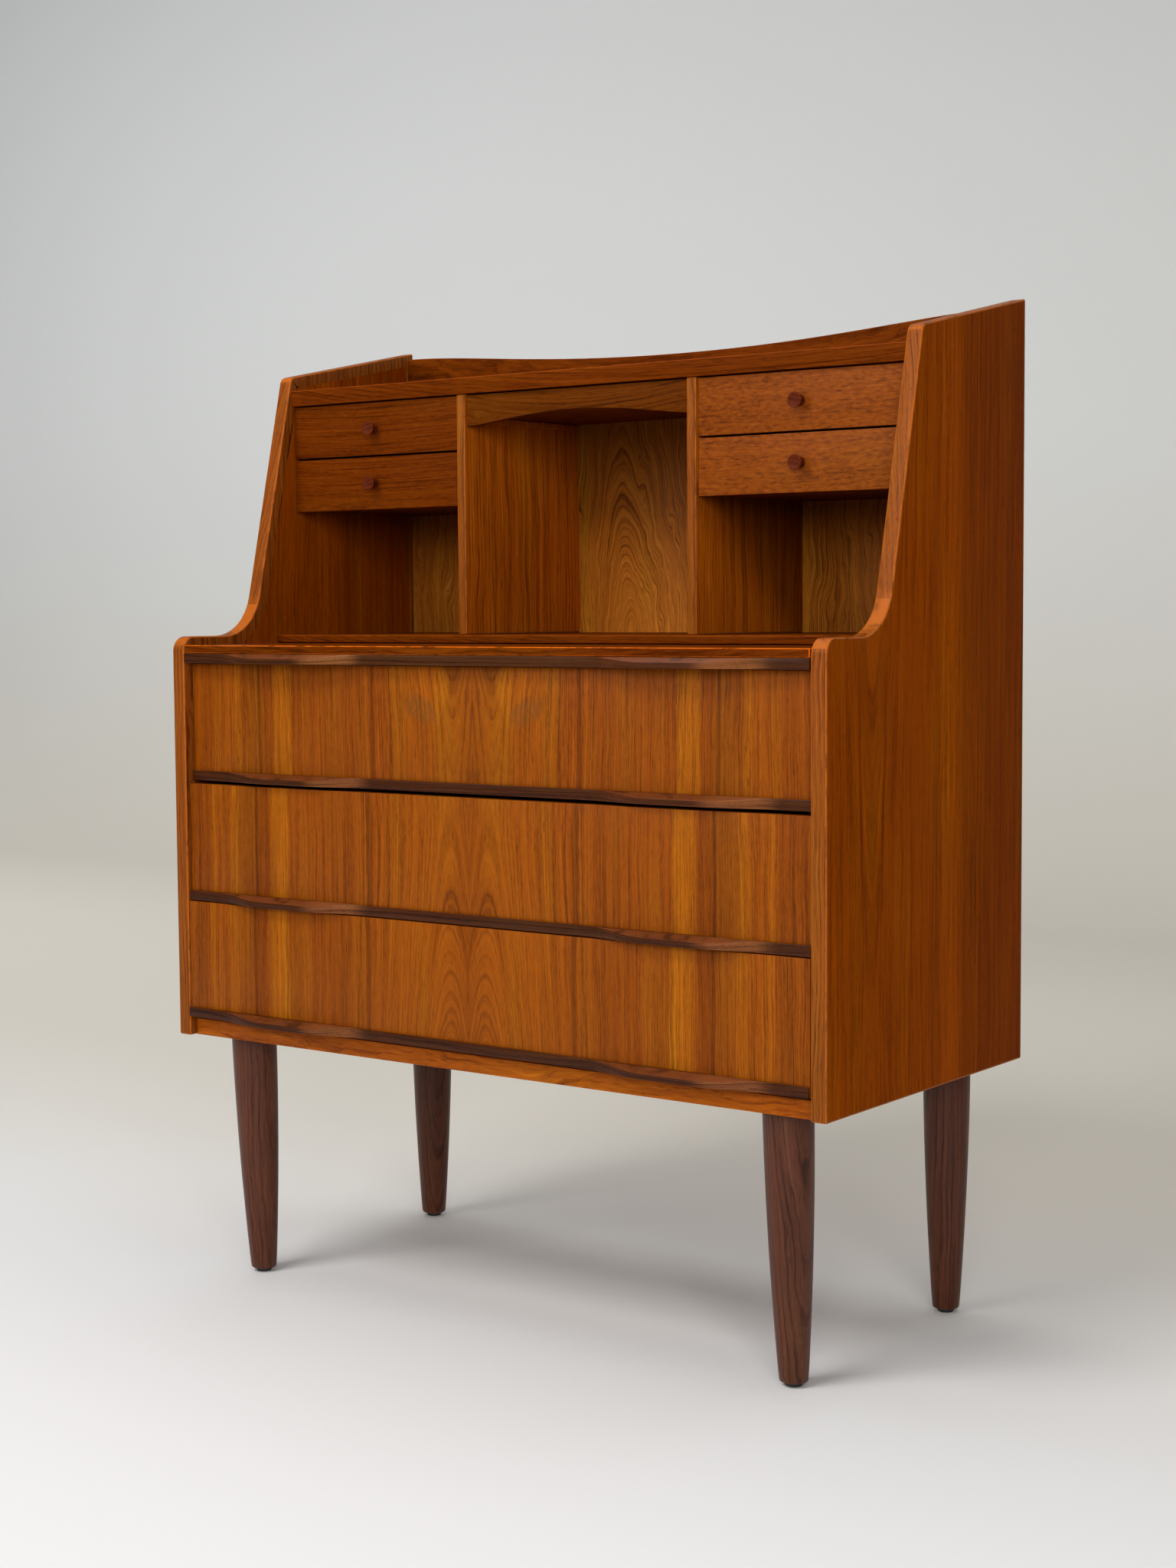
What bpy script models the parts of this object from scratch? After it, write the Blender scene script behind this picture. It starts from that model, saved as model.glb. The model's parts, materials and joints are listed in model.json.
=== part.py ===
"""Secretary desk: a teak case on turned legs, with large drawers, a writing leaf and a gallery.

Run with: blender --background --python part.py
Metres, +Z up, +X to the sitter's right. The front faces -Y. The origin is on the floor, under the
middle of the whole desk, handle grips included.
"""

import math

import bmesh
import bpy
from mathutils import Matrix, Vector

# Case
WIDTH = 0.880
DEPTH = 0.414
PANEL_THICKNESS = 0.018
LEG_HEIGHT = 0.284
BASE_RAIL_HEIGHT = 0.0190
BASE_RAIL_THICKNESS = 0.012
BASE_RAIL_SETBACK = 0.010
CASE_BOTTOM_THICKNESS = 0.016
BACK_THICKNESS = 0.005
BACK_RECESS = 0.001
GLUE_GAP = 0.0003
MERGE_DISTANCE = 0.00001

# Side panel outline
SHOULDER_DEPTH = 0.1152
SHOULDER_NOSE_RADIUS = 0.017
SHOULDER_FILLET_RADIUS = 0.060
RAKE_TOP_DEPTH = 0.1872
PANEL_TOP_RISE = 0.0163
PANEL_BACK_RISE = 0.0465
TOP_CORNER_RADIUS = 0.010
ARC_STEPS = 8

# Legs
LEG_TOP_RADIUS = 0.0260
LEG_FOOT_RADIUS = 0.0148
LEG_ENTASIS = 0.0022
LEG_FOOT_ROUNDING = 0.003
LEG_SECTIONS = 10
FRONT_LEG_INSET_SIDE = 0.073
BACK_LEG_INSET_SIDE = 0.070
LEG_INSET_FRONT = 0.049
LEG_INSET_BACK = 0.040
FRONT_LEG_RAKE = 0.010
GLIDE_RADIUS = 0.009
GLIDE_HEIGHT = 0.004
GLIDE_BEVEL = 0.001
TURNED_STEPS = 24
SHARP_ANGLE = math.radians(35)

# Large drawers
DRAWER_HEIGHT = 0.1352
LOWER_DRAWER_GAP = 0.0040
MIDDLE_DRAWER_GAP = 0.0016
UPPER_DRAWER_GAP = 0.0040
LOWER_DRAWER_SETBACK = 0.0010
MIDDLE_DRAWER_SETBACK = 0.0050
UPPER_DRAWER_SETBACK = 0.0130
DRAWER_SIDE_REVEAL = 0.0010
DRAWER_FRONT_THICKNESS = 0.016
DRAWER_BOX_LIFT = 0.010
DRAWER_BOX_TOP_GAP = 0.0152
DRAWER_BOX_WALL = 0.012
DRAWER_BOX_SIDE_GAP = 0.002
DRAWER_BACK_GAP = 0.016
DRAWER_BOTTOM_THICKNESS = 0.004
DRAWER_BOTTOM_LIFT = 0.006
DRAWER_BOTTOM_TONGUE = 0.004
RUNNER_REACH = 0.007
RUNNER_HEIGHT = 0.012
RUNNER_PLAY = 0.0006
RUNNER_FRONT_GAP = 0.010
RUNNER_END_GAP = 0.006
GROOVE_END_PLAY = 0.003

# Handle strips, on the large drawers and the leaf
STRIP_HEIGHT = 0.0110
DRAWER_STRIP_REACH = 0.0040
LEAF_STRIP_REACH = 0.0020
GRIP_REACH = 0.0120
GRIP_LIP_HEIGHT = 0.0062
GRIP_END_DISTANCE = 0.046
GRIP_EASE = 0.078
GRIP_LENGTH = 0.066
GRIP_STEPS = 9
STRIP_HOLLOW = 0.0006
STRIP_END_EASE = 0.0010
GRIP_SLOPE_START = 0.0006

# Writing leaf
LEAF_THICKNESS = 0.0205
LEAF_SETBACK = 0.0005
LEAF_REVEAL = 0.0008
LEAF_TOP_GAP = 0.0010
LEAF_SIDE_GAP = 0.0010
LEAF_BACK_GAP = 0.004
LEAF_NOSE_DEPTH = 0.016
LEAF_GUIDE_WIDTH = 0.014
LEAF_GUIDE_HEIGHT = 0.008

# Gallery
LEDGE_THICKNESS = 0.009
LEDGE_SETBACK = 0.155
GALLERY_HEIGHT = 0.275
TOP_BOARD_THICKNESS = 0.0185
TOP_BOARD_SETBACK = 0.186
DIVIDER_SETBACK = 0.189
DIVIDER_THICKNESS = 0.012
CENTRE_BAY_WIDTH = 0.3068
CREST_THICKNESS = 0.010
CREST_LOW = 0.0345
CREST_HIGH = 0.0545
CREST_MIDDLE_HANDLE = 0.50
CREST_END_HANDLE = 0.24
STRAIGHT_HANDLE = 1 / 3

# Small drawers and the hidden centre drawer
SMALL_SETBACK = 0.192
SMALL_FRONT_THICKNESS = 0.010
SMALL_FRONT_HEIGHT = 0.0615
SMALL_REVEAL = 0.0024
SMALL_TOP_REVEAL = 0.0016
SMALL_SIDE_REVEAL = 0.0010
SHELF_THICKNESS = 0.005
SHELF_LIFT = 0.0010
TRAY_WALL = 0.008
TRAY_BOTTOM = 0.004
TRAY_TOP_GAP = 0.0070
TRAY_SIDE_GAP = 0.0015
TRAY_BACK_GAP = 0.010
TRAY_PLAY = 0.0005
KNOB_FACE_RADIUS = 0.0083
KNOB_FOOT_RADIUS = 0.0060
KNOB_LENGTH = 0.0120
KNOB_DISH = 0.0012
KNOB_RIM_RADIUS = 0.0073
KNOB_DISH_RADIUS = 0.0042
KNOB_DISH_SLOPE = 0.0003
ARCH_FRONT_DROP = 0.0355
ARCH_RISE = 0.0122
ARCH_FULLNESS = 1.4
ARCH_STEPS = 24
CENTRE_RUNNER_WIDTH = 0.006
CENTRE_RUNNER_HEIGHT = 0.007
CENTRE_RUNNER_DROP = 0.0250
CENTRE_TRAY_TOP_GAP = 0.0065
CENTRE_RUNNER_BACK_GAP = 0.015

# Worked out from the sizes above
GRIP_OVERHANG = DRAWER_STRIP_REACH + GRIP_REACH - LOWER_DRAWER_SETBACK
BACK = (DEPTH + GRIP_OVERHANG) / 2
FRONT = BACK - DEPTH
INNER_X = WIDTH / 2 - PANEL_THICKNESS
CASE_X = INNER_X - GLUE_GAP
BACK_FACE = BACK - BACK_RECESS - BACK_THICKNESS
BOARD_BACK = BACK_FACE - GLUE_GAP
DRAWER_BOX_HEIGHT = DRAWER_HEIGHT - DRAWER_BOX_LIFT - DRAWER_BOX_TOP_GAP
LOWER_DRAWER_BOTTOM = LEG_HEIGHT + BASE_RAIL_HEIGHT + LOWER_DRAWER_GAP
MIDDLE_DRAWER_BOTTOM = LOWER_DRAWER_BOTTOM + DRAWER_HEIGHT + MIDDLE_DRAWER_GAP
UPPER_DRAWER_BOTTOM = MIDDLE_DRAWER_BOTTOM + DRAWER_HEIGHT + UPPER_DRAWER_GAP
LEAF_BOTTOM = UPPER_DRAWER_BOTTOM + DRAWER_HEIGHT + LEAF_REVEAL
LEAF_TOP = LEAF_BOTTOM + LEAF_THICKNESS
LEDGE_BOTTOM = LEAF_TOP + LEAF_TOP_GAP
LEDGE_TOP = LEDGE_BOTTOM + LEDGE_THICKNESS
TOP_BOARD_BOTTOM = LEDGE_TOP + GALLERY_HEIGHT
TOP_BOARD_TOP = TOP_BOARD_BOTTOM + TOP_BOARD_THICKNESS
DIVIDER_INNER_X = CENTRE_BAY_WIDTH / 2
DIVIDER_OUTER_X = DIVIDER_INNER_X + DIVIDER_THICKNESS
SMALL_FACE = FRONT + SMALL_SETBACK
SMALL_FRONT_BACK = SMALL_FACE + SMALL_FRONT_THICKNESS
SHELF_TOP_LIFT = SHELF_LIFT + SHELF_THICKNESS
TRAY_HEIGHT = SMALL_FRONT_HEIGHT - SHELF_TOP_LIFT - TRAY_PLAY - TRAY_TOP_GAP
CENTRE_RUNNER_TOP = TOP_BOARD_BOTTOM - CENTRE_RUNNER_DROP
CENTRE_TRAY_HEIGHT = CENTRE_RUNNER_DROP - TRAY_PLAY - CENTRE_TRAY_TOP_GAP
CREST_FRONT = BACK_FACE + BACK_THICKNESS - CREST_THICKNESS

SIDES = (("left", -1), ("right", 1))
DRAWERS = (
    ("lower_drawer", LOWER_DRAWER_BOTTOM, LOWER_DRAWER_SETBACK),
    ("middle_drawer", MIDDLE_DRAWER_BOTTOM, MIDDLE_DRAWER_SETBACK),
    ("upper_drawer", UPPER_DRAWER_BOTTOM, UPPER_DRAWER_SETBACK),
)
DEEPEST_SETBACK = max(setback for name, bottom, setback in DRAWERS)


def clear_scene():
    for old in list(bpy.data.objects):
        bpy.data.objects.remove(old)


def new_collection(name):
    collection = bpy.data.collections.new(name)
    bpy.context.scene.collection.children.link(collection)
    return collection


def new_material(name, colour, roughness, metallic=0.0):
    material = bpy.data.materials.new(name)
    material.use_nodes = True
    shader = material.node_tree.nodes["Principled BSDF"]
    shader.inputs["Base Color"].default_value = (*colour, 1.0)
    shader.inputs["Roughness"].default_value = roughness
    shader.inputs["Metallic"].default_value = metallic
    material.diffuse_color = (*colour, 1.0)
    return material


class Desk:
    """The collections, materials and moving groups that the pieces are added to."""

    def __init__(self):
        self.parts = new_collection("secretary_desk")
        self.cutters = new_collection("cutters")
        self.cutters.hide_render = True
        self.panel_teak = new_material("panel_teak", (0.30, 0.115, 0.035), 0.42)
        self.front_teak = new_material("front_teak", (0.46, 0.19, 0.055), 0.42)
        self.back_teak = new_material("back_teak", (0.33, 0.17, 0.08), 0.55)
        self.handle_wood = new_material("handle_wood", (0.13, 0.055, 0.028), 0.38)
        self.leg_wood = new_material("leg_wood", (0.10, 0.035, 0.020), 0.38)
        self.box_wood = new_material("box_wood", (0.55, 0.38, 0.20), 0.60)
        self.glide_nylon = new_material("glide_nylon", (0.02, 0.02, 0.02), 0.50)

    def group(self, name, origin):
        """An empty on a sliding body's axis, which its pieces are parented to."""
        empty = bpy.data.objects.new(name, None)
        empty.empty_display_size = 0.05
        empty.location = origin
        self.parts.objects.link(empty)
        return empty

    def add(self, name, data, material, location=(0, 0, 0), parent=None):
        piece = bpy.data.objects.new(name, data)
        piece.location = location
        data.materials.append(material)
        self.parts.objects.link(piece)
        if parent:
            piece.parent = parent
            piece.matrix_parent_inverse = Matrix.Translation(-Vector(parent.location))
        return piece

    def box(self, name, low, high, material, parent=None):
        middle = (Vector(low) + Vector(high)) / 2
        return self.add(name, box_mesh(name, low, high), material, middle, parent)

    def cutter(self, name, data, location=(0, 0, 0), rotation=(0, 0, 0)):
        tool = bpy.data.objects.new(name, data)
        tool.location = location
        tool.rotation_euler = rotation
        tool.hide_render = True
        tool.display_type = "WIRE"
        self.cutters.objects.link(tool)
        return tool

    def cut_box(self, piece, name, low, high):
        """Cuts a box given in world coordinates out of a piece."""
        middle = (Vector(low) + Vector(high)) / 2
        tool = self.cutter(f"{piece.name}_{name}", box_mesh(name, low, high), middle)
        cut(piece, tool)


def box_mesh(name, low, high):
    size = Vector(high) - Vector(low)
    shape = bmesh.new()
    bmesh.ops.create_cube(shape, size=1.0, matrix=Matrix.Diagonal((*size, 1.0)))
    return mesh_from(name, shape)


def mesh_from(name, shape):
    mesh = bpy.data.meshes.new(name)
    shape.to_mesh(mesh)
    shape.free()
    return mesh


def cut(piece, tool):
    modifier = piece.modifiers.new(tool.name, "BOOLEAN")
    modifier.operation = "DIFFERENCE"
    modifier.solver = "EXACT"
    modifier.object = tool


def flat_outline(name, points, thickness):
    """A filled 2D curve of the given thickness: one closed spline of (x, y) points."""
    curve = bpy.data.curves.new(name, "CURVE")
    curve.dimensions = "2D"
    curve.fill_mode = "BOTH"
    curve.extrude = thickness / 2
    spline = curve.splines.new("POLY")
    spline.points.add(len(points) - 1)
    for point, (x, y) in zip(spline.points, points):
        point.co = (x, y, 0, 1)
    spline.use_cyclic_u = True
    return curve


def curve_to_mesh(name, curve):
    """The curve's solid as a mesh with its caps welded on, in the curve's own coordinates."""
    holder = bpy.data.objects.new(name, curve)
    bpy.context.scene.collection.objects.link(holder)
    graph = bpy.context.evaluated_depsgraph_get()
    mesh = bpy.data.meshes.new_from_object(holder.evaluated_get(graph))
    bpy.data.objects.remove(holder)
    shape = bmesh.new()
    shape.from_mesh(mesh)
    bmesh.ops.remove_doubles(shape, verts=shape.verts, dist=MERGE_DISTANCE)
    shape.to_mesh(mesh)
    shape.free()
    mesh.name = name
    return mesh


def turned_mesh(name, profile, steps=TURNED_STEPS):
    """Turns (radius, height) points, listed from the top down, about the Z axis."""
    mesh = bpy.data.meshes.new(name)
    edges = [(i, i + 1) for i in range(len(profile) - 1)]
    mesh.from_pydata([(radius, 0, height) for radius, height in profile], edges, [])
    holder = bpy.data.objects.new(name, mesh)
    bpy.context.scene.collection.objects.link(holder)
    screw = holder.modifiers.new("turn", "SCREW")
    screw.axis = "Z"
    screw.steps = steps
    screw.render_steps = steps
    screw.use_merge_vertices = True
    screw.merge_threshold = MERGE_DISTANCE
    graph = bpy.context.evaluated_depsgraph_get()
    turned = bpy.data.meshes.new_from_object(holder.evaluated_get(graph))
    bpy.data.objects.remove(holder)
    turned.name = name
    turned.shade_smooth()
    turned.set_sharp_from_angle(angle=SHARP_ANGLE)
    return turned


def arc_corner(before, corner, after, radius):
    """Points of the arc that rounds a corner between two straight runs."""
    here = Vector(corner)
    back = (Vector(before) - here).normalized()
    ahead = (Vector(after) - here).normalized()
    half = back.angle(ahead) / 2
    reach = radius / math.tan(half)
    centre = here + (back + ahead).normalized() * radius / math.sin(half)
    start = here + back * reach - centre
    end = here + ahead * reach - centre
    turn = start.angle_signed(end)
    points = []
    for step in range(ARC_STEPS + 1):
        spoke = start.copy()
        spoke.rotate(Matrix.Rotation(-turn * step / ARC_STEPS, 2))
        points.append(tuple(centre + spoke))
    return points


def side_panel_outline():
    """(y, z) points of a side panel, from the front foot up and over to the back foot."""
    front_foot = (FRONT, LEG_HEIGHT)
    nose = (FRONT, LEDGE_TOP)
    shoulder = (FRONT + SHOULDER_DEPTH, LEDGE_TOP)
    top_front = (FRONT + RAKE_TOP_DEPTH, TOP_BOARD_TOP + PANEL_TOP_RISE)
    top_back = (BACK, TOP_BOARD_TOP + PANEL_TOP_RISE + PANEL_BACK_RISE)
    outline = [front_foot]
    outline += arc_corner(front_foot, nose, shoulder, SHOULDER_NOSE_RADIUS)
    outline += arc_corner(nose, shoulder, top_front, SHOULDER_FILLET_RADIUS)
    outline += arc_corner(shoulder, top_front, top_back, TOP_CORNER_RADIUS)
    outline += [top_back, (BACK, LEG_HEIGHT)]
    return outline


def stand_along_x(piece):
    """Turns a piece drawn flat in XY so that its x runs along +Y and its y runs up."""
    piece.rotation_euler = (math.pi / 2, 0, math.pi / 2)


def add_side_panels(desk):
    for side, sign in SIDES:
        curve = flat_outline(f"side_panel_{side}", side_panel_outline(), PANEL_THICKNESS)
        middle = sign * (WIDTH - PANEL_THICKNESS) / 2
        panel = desk.add(f"side_panel_{side}", curve, desk.panel_teak, (middle, 0, 0))
        stand_along_x(panel)


def add_case(desk):
    rail_face = FRONT + BASE_RAIL_SETBACK
    rail_back = rail_face + BASE_RAIL_THICKNESS
    rail_top = LEG_HEIGHT + BASE_RAIL_HEIGHT
    rail_low = (-CASE_X, rail_face, LEG_HEIGHT)
    desk.box("base_rail", rail_low, (CASE_X, rail_back, rail_top), desk.front_teak)
    bottom_low = (-CASE_X, rail_back + GLUE_GAP, LEG_HEIGHT)
    bottom_high = (CASE_X, BOARD_BACK, LEG_HEIGHT + CASE_BOTTOM_THICKNESS)
    desk.box("case_bottom", bottom_low, bottom_high, desk.box_wood)
    back_low = (-CASE_X, BACK_FACE, LEG_HEIGHT)
    back_high = (CASE_X, BACK_FACE + BACK_THICKNESS, TOP_BOARD_BOTTOM - GLUE_GAP)
    desk.box("back_panel", back_low, back_high, desk.back_teak)


def leg_mesh(rake):
    """A tapered, slightly swelled leg whose top is carried forward by the rake."""
    foot = GLIDE_HEIGHT + GLUE_GAP
    top = LEG_HEIGHT - GLUE_GAP
    length = top - foot
    profile = [(0, top)]
    for step in range(LEG_SECTIONS + 1):
        share = 1 - step / LEG_SECTIONS
        radius = LEG_FOOT_RADIUS + (LEG_TOP_RADIUS - LEG_FOOT_RADIUS) * share
        radius += LEG_ENTASIS * math.sin(math.pi * share)
        profile.append((radius, foot + LEG_FOOT_ROUNDING + (length - LEG_FOOT_ROUNDING) * share))
    profile.append((LEG_FOOT_RADIUS - LEG_FOOT_ROUNDING, foot))
    profile.append((0, foot))
    mesh = turned_mesh("leg", profile)
    lean = Matrix.Identity(4)
    lean[1][2] = -rake / length
    lean[1][3] = rake / length * foot
    mesh.transform(lean)
    return mesh


def add_legs(desk):
    rows = (
        ("front", FRONT_LEG_INSET_SIDE, FRONT + LEG_INSET_FRONT + FRONT_LEG_RAKE, FRONT_LEG_RAKE),
        ("back", BACK_LEG_INSET_SIDE, BACK - LEG_INSET_BACK, 0),
    )
    glide = [(0, GLIDE_HEIGHT), (GLIDE_RADIUS, GLIDE_HEIGHT), (GLIDE_RADIUS, GLIDE_BEVEL)]
    glide += [(GLIDE_RADIUS - GLIDE_BEVEL, 0), (0, 0)]
    for row, inset, foot_y, rake in rows:
        for side, sign in SIDES:
            place = (sign * (WIDTH / 2 - inset), foot_y, 0)
            desk.add(f"leg_{row}_{side}", leg_mesh(rake), desk.leg_wood, place)
            desk.add(f"glide_{row}_{side}", turned_mesh("glide", glide), desk.glide_nylon, place)


def handle_outline(half_length, face, back):
    """(x, y) plan of a handle strip: nearly straight, with a grip that swells out towards each end."""
    outer = half_length - GRIP_END_DISTANCE
    inner = outer - 2 * GRIP_EASE - GRIP_LENGTH
    right = [(half_length, face + STRIP_END_EASE)]
    for step in range(GRIP_STEPS + 1):
        share = step / GRIP_STEPS
        right.append((outer - GRIP_EASE * share, face - GRIP_REACH * eased(share)))
    for step in range(GRIP_STEPS + 1):
        share = 1 - step / GRIP_STEPS
        swell = (GRIP_REACH + STRIP_HOLLOW) * eased(share)
        right.append((inner + GRIP_EASE * share, face + STRIP_HOLLOW - swell))
    left = [(-x, y) for x, y in reversed(right)]
    return [(half_length, back), *right, *left, (-half_length, back)]


def eased(share):
    """Rises from 0 to 1 in an S curve."""
    return (1 - math.cos(math.pi * share)) / 2


def add_handle(desk, name, bottom, face, back, half_length, parent):
    """A handle strip whose grips slope down at the front to a thin lip."""
    outline = handle_outline(half_length, face, back)
    mesh = curve_to_mesh(name, flat_outline(name, outline, STRIP_HEIGHT))
    strip = desk.add(name, mesh, desk.handle_wood, (0, 0, bottom + STRIP_HEIGHT / 2), parent)
    slope = math.atan2(STRIP_HEIGHT - GRIP_LIP_HEIGHT, GRIP_REACH - GRIP_SLOPE_START)
    size = GRIP_REACH + 2 * STRIP_HEIGHT
    reach = half_length + size
    wedge = box_mesh("slope", (-reach, -size, 0), (reach, size, size))
    wedge.transform(Matrix.Translation((0, 0, size / 2)))
    start = (0, face - GRIP_SLOPE_START, bottom + STRIP_HEIGHT)
    cut(strip, desk.cutter(f"{name}_slope", wedge, start, (slope, 0, 0)))


def add_large_drawer(desk, name, bottom, setback):
    half = INNER_X - DRAWER_SIDE_REVEAL
    top = bottom + DRAWER_HEIGHT
    face = FRONT + setback
    front_back = face + DRAWER_FRONT_THICKNESS
    group = desk.group(name, (0, face, bottom + DRAWER_HEIGHT / 2))
    front_low = (-half, face, bottom)
    desk.box(f"{name}_front", front_low, (half, front_back, top), desk.front_teak, group)
    strip_face = face - DRAWER_STRIP_REACH
    add_handle(desk, f"{name}_handle", bottom, strip_face, face - GLUE_GAP, half, group)

    box_x = INNER_X - DRAWER_BOX_SIDE_GAP
    box_front = front_back + GLUE_GAP
    box_back = BACK_FACE - DRAWER_BACK_GAP - (DEEPEST_SETBACK - setback)
    box_low = bottom + DRAWER_BOX_LIFT
    box_high = box_low + DRAWER_BOX_HEIGHT
    body_low = (-box_x, box_front, box_low)
    body = desk.box(f"{name}_box", body_low, (box_x, box_back, box_high), desk.box_wood, group)
    hollow_x = box_x - DRAWER_BOX_WALL
    hollow_front = box_front + DRAWER_BOX_WALL
    hollow_back = box_back - DRAWER_BOX_WALL
    over = DRAWER_BOX_HEIGHT
    hollow_low = (-hollow_x, hollow_front, box_low - over)
    desk.cut_box(body, "hollow", hollow_low, (hollow_x, hollow_back, box_high + over))

    sheet_low = box_low + DRAWER_BOTTOM_LIFT
    sheet_high = sheet_low + DRAWER_BOTTOM_THICKNESS
    tongue = DRAWER_BOTTOM_TONGUE
    room = tongue + GLUE_GAP
    groove_low = (-hollow_x - room, hollow_front - room, sheet_low - GLUE_GAP)
    groove_high = (hollow_x + room, hollow_back + room, sheet_high + GLUE_GAP)
    desk.cut_box(body, "bottom_groove", groove_low, groove_high)
    sheet_from = (-hollow_x - tongue, hollow_front - tongue, sheet_low)
    sheet_to = (hollow_x + tongue, hollow_back + tongue, sheet_high)
    desk.box(f"{name}_bottom", sheet_from, sheet_to, desk.box_wood, group)
    add_runners(desk, name, body, (box_low + box_high) / 2, box_front, box_back)


def add_runners(desk, name, body, middle, box_front, box_back):
    """Battens on the side panels, and the grooves in the drawer's sides that run on them."""
    runner_inner = INNER_X - DRAWER_BOX_SIDE_GAP - RUNNER_REACH
    groove_inner = runner_inner - RUNNER_PLAY
    runner_low = middle - RUNNER_HEIGHT / 2
    runner_high = middle + RUNNER_HEIGHT / 2
    runner_front = box_front + RUNNER_FRONT_GAP
    for side, sign in SIDES:
        near = sorted((sign * runner_inner, sign * CASE_X))
        low = (near[0], runner_front, runner_low)
        high = (near[1], BACK_FACE - RUNNER_END_GAP, runner_high)
        desk.box(f"{name}_runner_{side}", low, high, desk.box_wood)
        wide = sorted((sign * groove_inner, sign * WIDTH / 2))
        groove_low = (wide[0], runner_front - GROOVE_END_PLAY, runner_low - RUNNER_PLAY)
        groove_high = (wide[1], BACK, runner_high + RUNNER_PLAY)
        desk.cut_box(body, f"groove_{side}", groove_low, groove_high)


def add_leaf(desk):
    half = INNER_X - LEAF_SIDE_GAP
    face = FRONT + LEAF_SETBACK
    group = desk.group("writing_leaf", (0, face, (LEAF_BOTTOM + LEAF_TOP) / 2))
    board_high = (half, BACK_FACE - LEAF_BACK_GAP, LEAF_TOP)
    board = desk.box("leaf_board", (-half, face, LEAF_BOTTOM), board_high, desk.front_teak, group)
    rebate = face + LEAF_NOSE_DEPTH
    over = LEAF_THICKNESS
    rebate_high = (half + over, rebate, LEAF_BOTTOM + STRIP_HEIGHT + GLUE_GAP)
    desk.cut_box(board, "rebate", (-half - over, face - over, LEAF_BOTTOM - over), rebate_high)
    strip_face = face - LEAF_STRIP_REACH
    add_handle(desk, "leaf_handle", LEAF_BOTTOM, strip_face, rebate - GLUE_GAP, half, group)
    guide_top = LEAF_BOTTOM - RUNNER_PLAY
    guide_low = guide_top - LEAF_GUIDE_HEIGHT
    guide_front = FRONT + DEEPEST_SETBACK + DRAWER_FRONT_THICKNESS + RUNNER_FRONT_GAP
    for side, sign in SIDES:
        near = sorted((sign * (CASE_X - LEAF_GUIDE_WIDTH), sign * CASE_X))
        low = (near[0], guide_front, guide_low)
        high = (near[1], BACK_FACE - RUNNER_END_GAP, guide_top)
        desk.box(f"leaf_guide_{side}", low, high, desk.box_wood)


def crest_curve():
    """The rail on top of the back panel: straight below, with a long dip along its top edge."""
    low = TOP_BOARD_BOTTOM
    curve = bpy.data.curves.new("crest_rail", "CURVE")
    curve.dimensions = "2D"
    curve.fill_mode = "BOTH"
    curve.extrude = CREST_THICKNESS / 2
    curve.resolution_u = 16
    spline = curve.splines.new("BEZIER")
    spline.bezier_points.add(4)
    spline.use_cyclic_u = True
    dip = TOP_BOARD_TOP + CREST_LOW
    peak = TOP_BOARD_TOP + CREST_HIGH
    corners = ((-CASE_X, low), (-CASE_X, peak), (0, dip), (CASE_X, peak), (CASE_X, low))
    for point, (x, z) in zip(spline.bezier_points, corners):
        point.co = (x, z, 0)
        point.handle_left_type = "VECTOR"
        point.handle_right_type = "VECTOR"
    middle_reach = CREST_MIDDLE_HANDLE * CASE_X
    end_reach = CREST_END_HANDLE * CASE_X
    reaches = ((1, 0, end_reach), (2, middle_reach, middle_reach), (3, end_reach, 0))
    for index, before, after in reaches:
        point = spline.bezier_points[index]
        point.handle_left_type = "FREE"
        point.handle_right_type = "FREE"
        point.handle_left = point.co - Vector((before, 0, 0))
        point.handle_right = point.co + Vector((after, 0, 0))
    left_end = spline.bezier_points[1]
    left_end.handle_left = left_end.co.lerp(spline.bezier_points[0].co, STRAIGHT_HANDLE)
    right_end = spline.bezier_points[3]
    right_end.handle_right = right_end.co.lerp(spline.bezier_points[4].co, STRAIGHT_HANDLE)
    return curve


def add_gallery(desk):
    ledge_low = (-CASE_X, FRONT + LEDGE_SETBACK, LEDGE_BOTTOM)
    desk.box("gallery_base", ledge_low, (CASE_X, BOARD_BACK, LEDGE_TOP), desk.front_teak)
    top_low = (-CASE_X, FRONT + TOP_BOARD_SETBACK, TOP_BOARD_BOTTOM)
    desk.box("top_board", top_low, (CASE_X, CREST_FRONT - GLUE_GAP, TOP_BOARD_TOP), desk.front_teak)
    crest_middle = (0, CREST_FRONT + CREST_THICKNESS / 2, 0)
    crest = desk.add("crest_rail", crest_curve(), desk.front_teak, crest_middle)
    crest.rotation_euler = (math.pi / 2, 0, 0)
    for side, sign in SIDES:
        near = sorted((sign * DIVIDER_INNER_X, sign * DIVIDER_OUTER_X))
        low = (near[0], FRONT + DIVIDER_SETBACK, LEDGE_TOP + GLUE_GAP)
        high = (near[1], BOARD_BACK, TOP_BOARD_BOTTOM - GLUE_GAP)
        desk.box(f"divider_{side}", low, high, desk.front_teak)


def knob_mesh():
    """A short knob that widens to a dished face, with its foot at the origin."""
    profile = [(0, KNOB_LENGTH - KNOB_DISH)]
    profile.append((KNOB_DISH_RADIUS, KNOB_LENGTH - KNOB_DISH + KNOB_DISH_SLOPE))
    profile.append((KNOB_RIM_RADIUS, KNOB_LENGTH))
    profile.append((KNOB_FACE_RADIUS, KNOB_LENGTH - KNOB_DISH))
    profile.append((KNOB_FOOT_RADIUS, 0))
    profile.append((0, 0))
    return turned_mesh("knob", profile)


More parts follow.
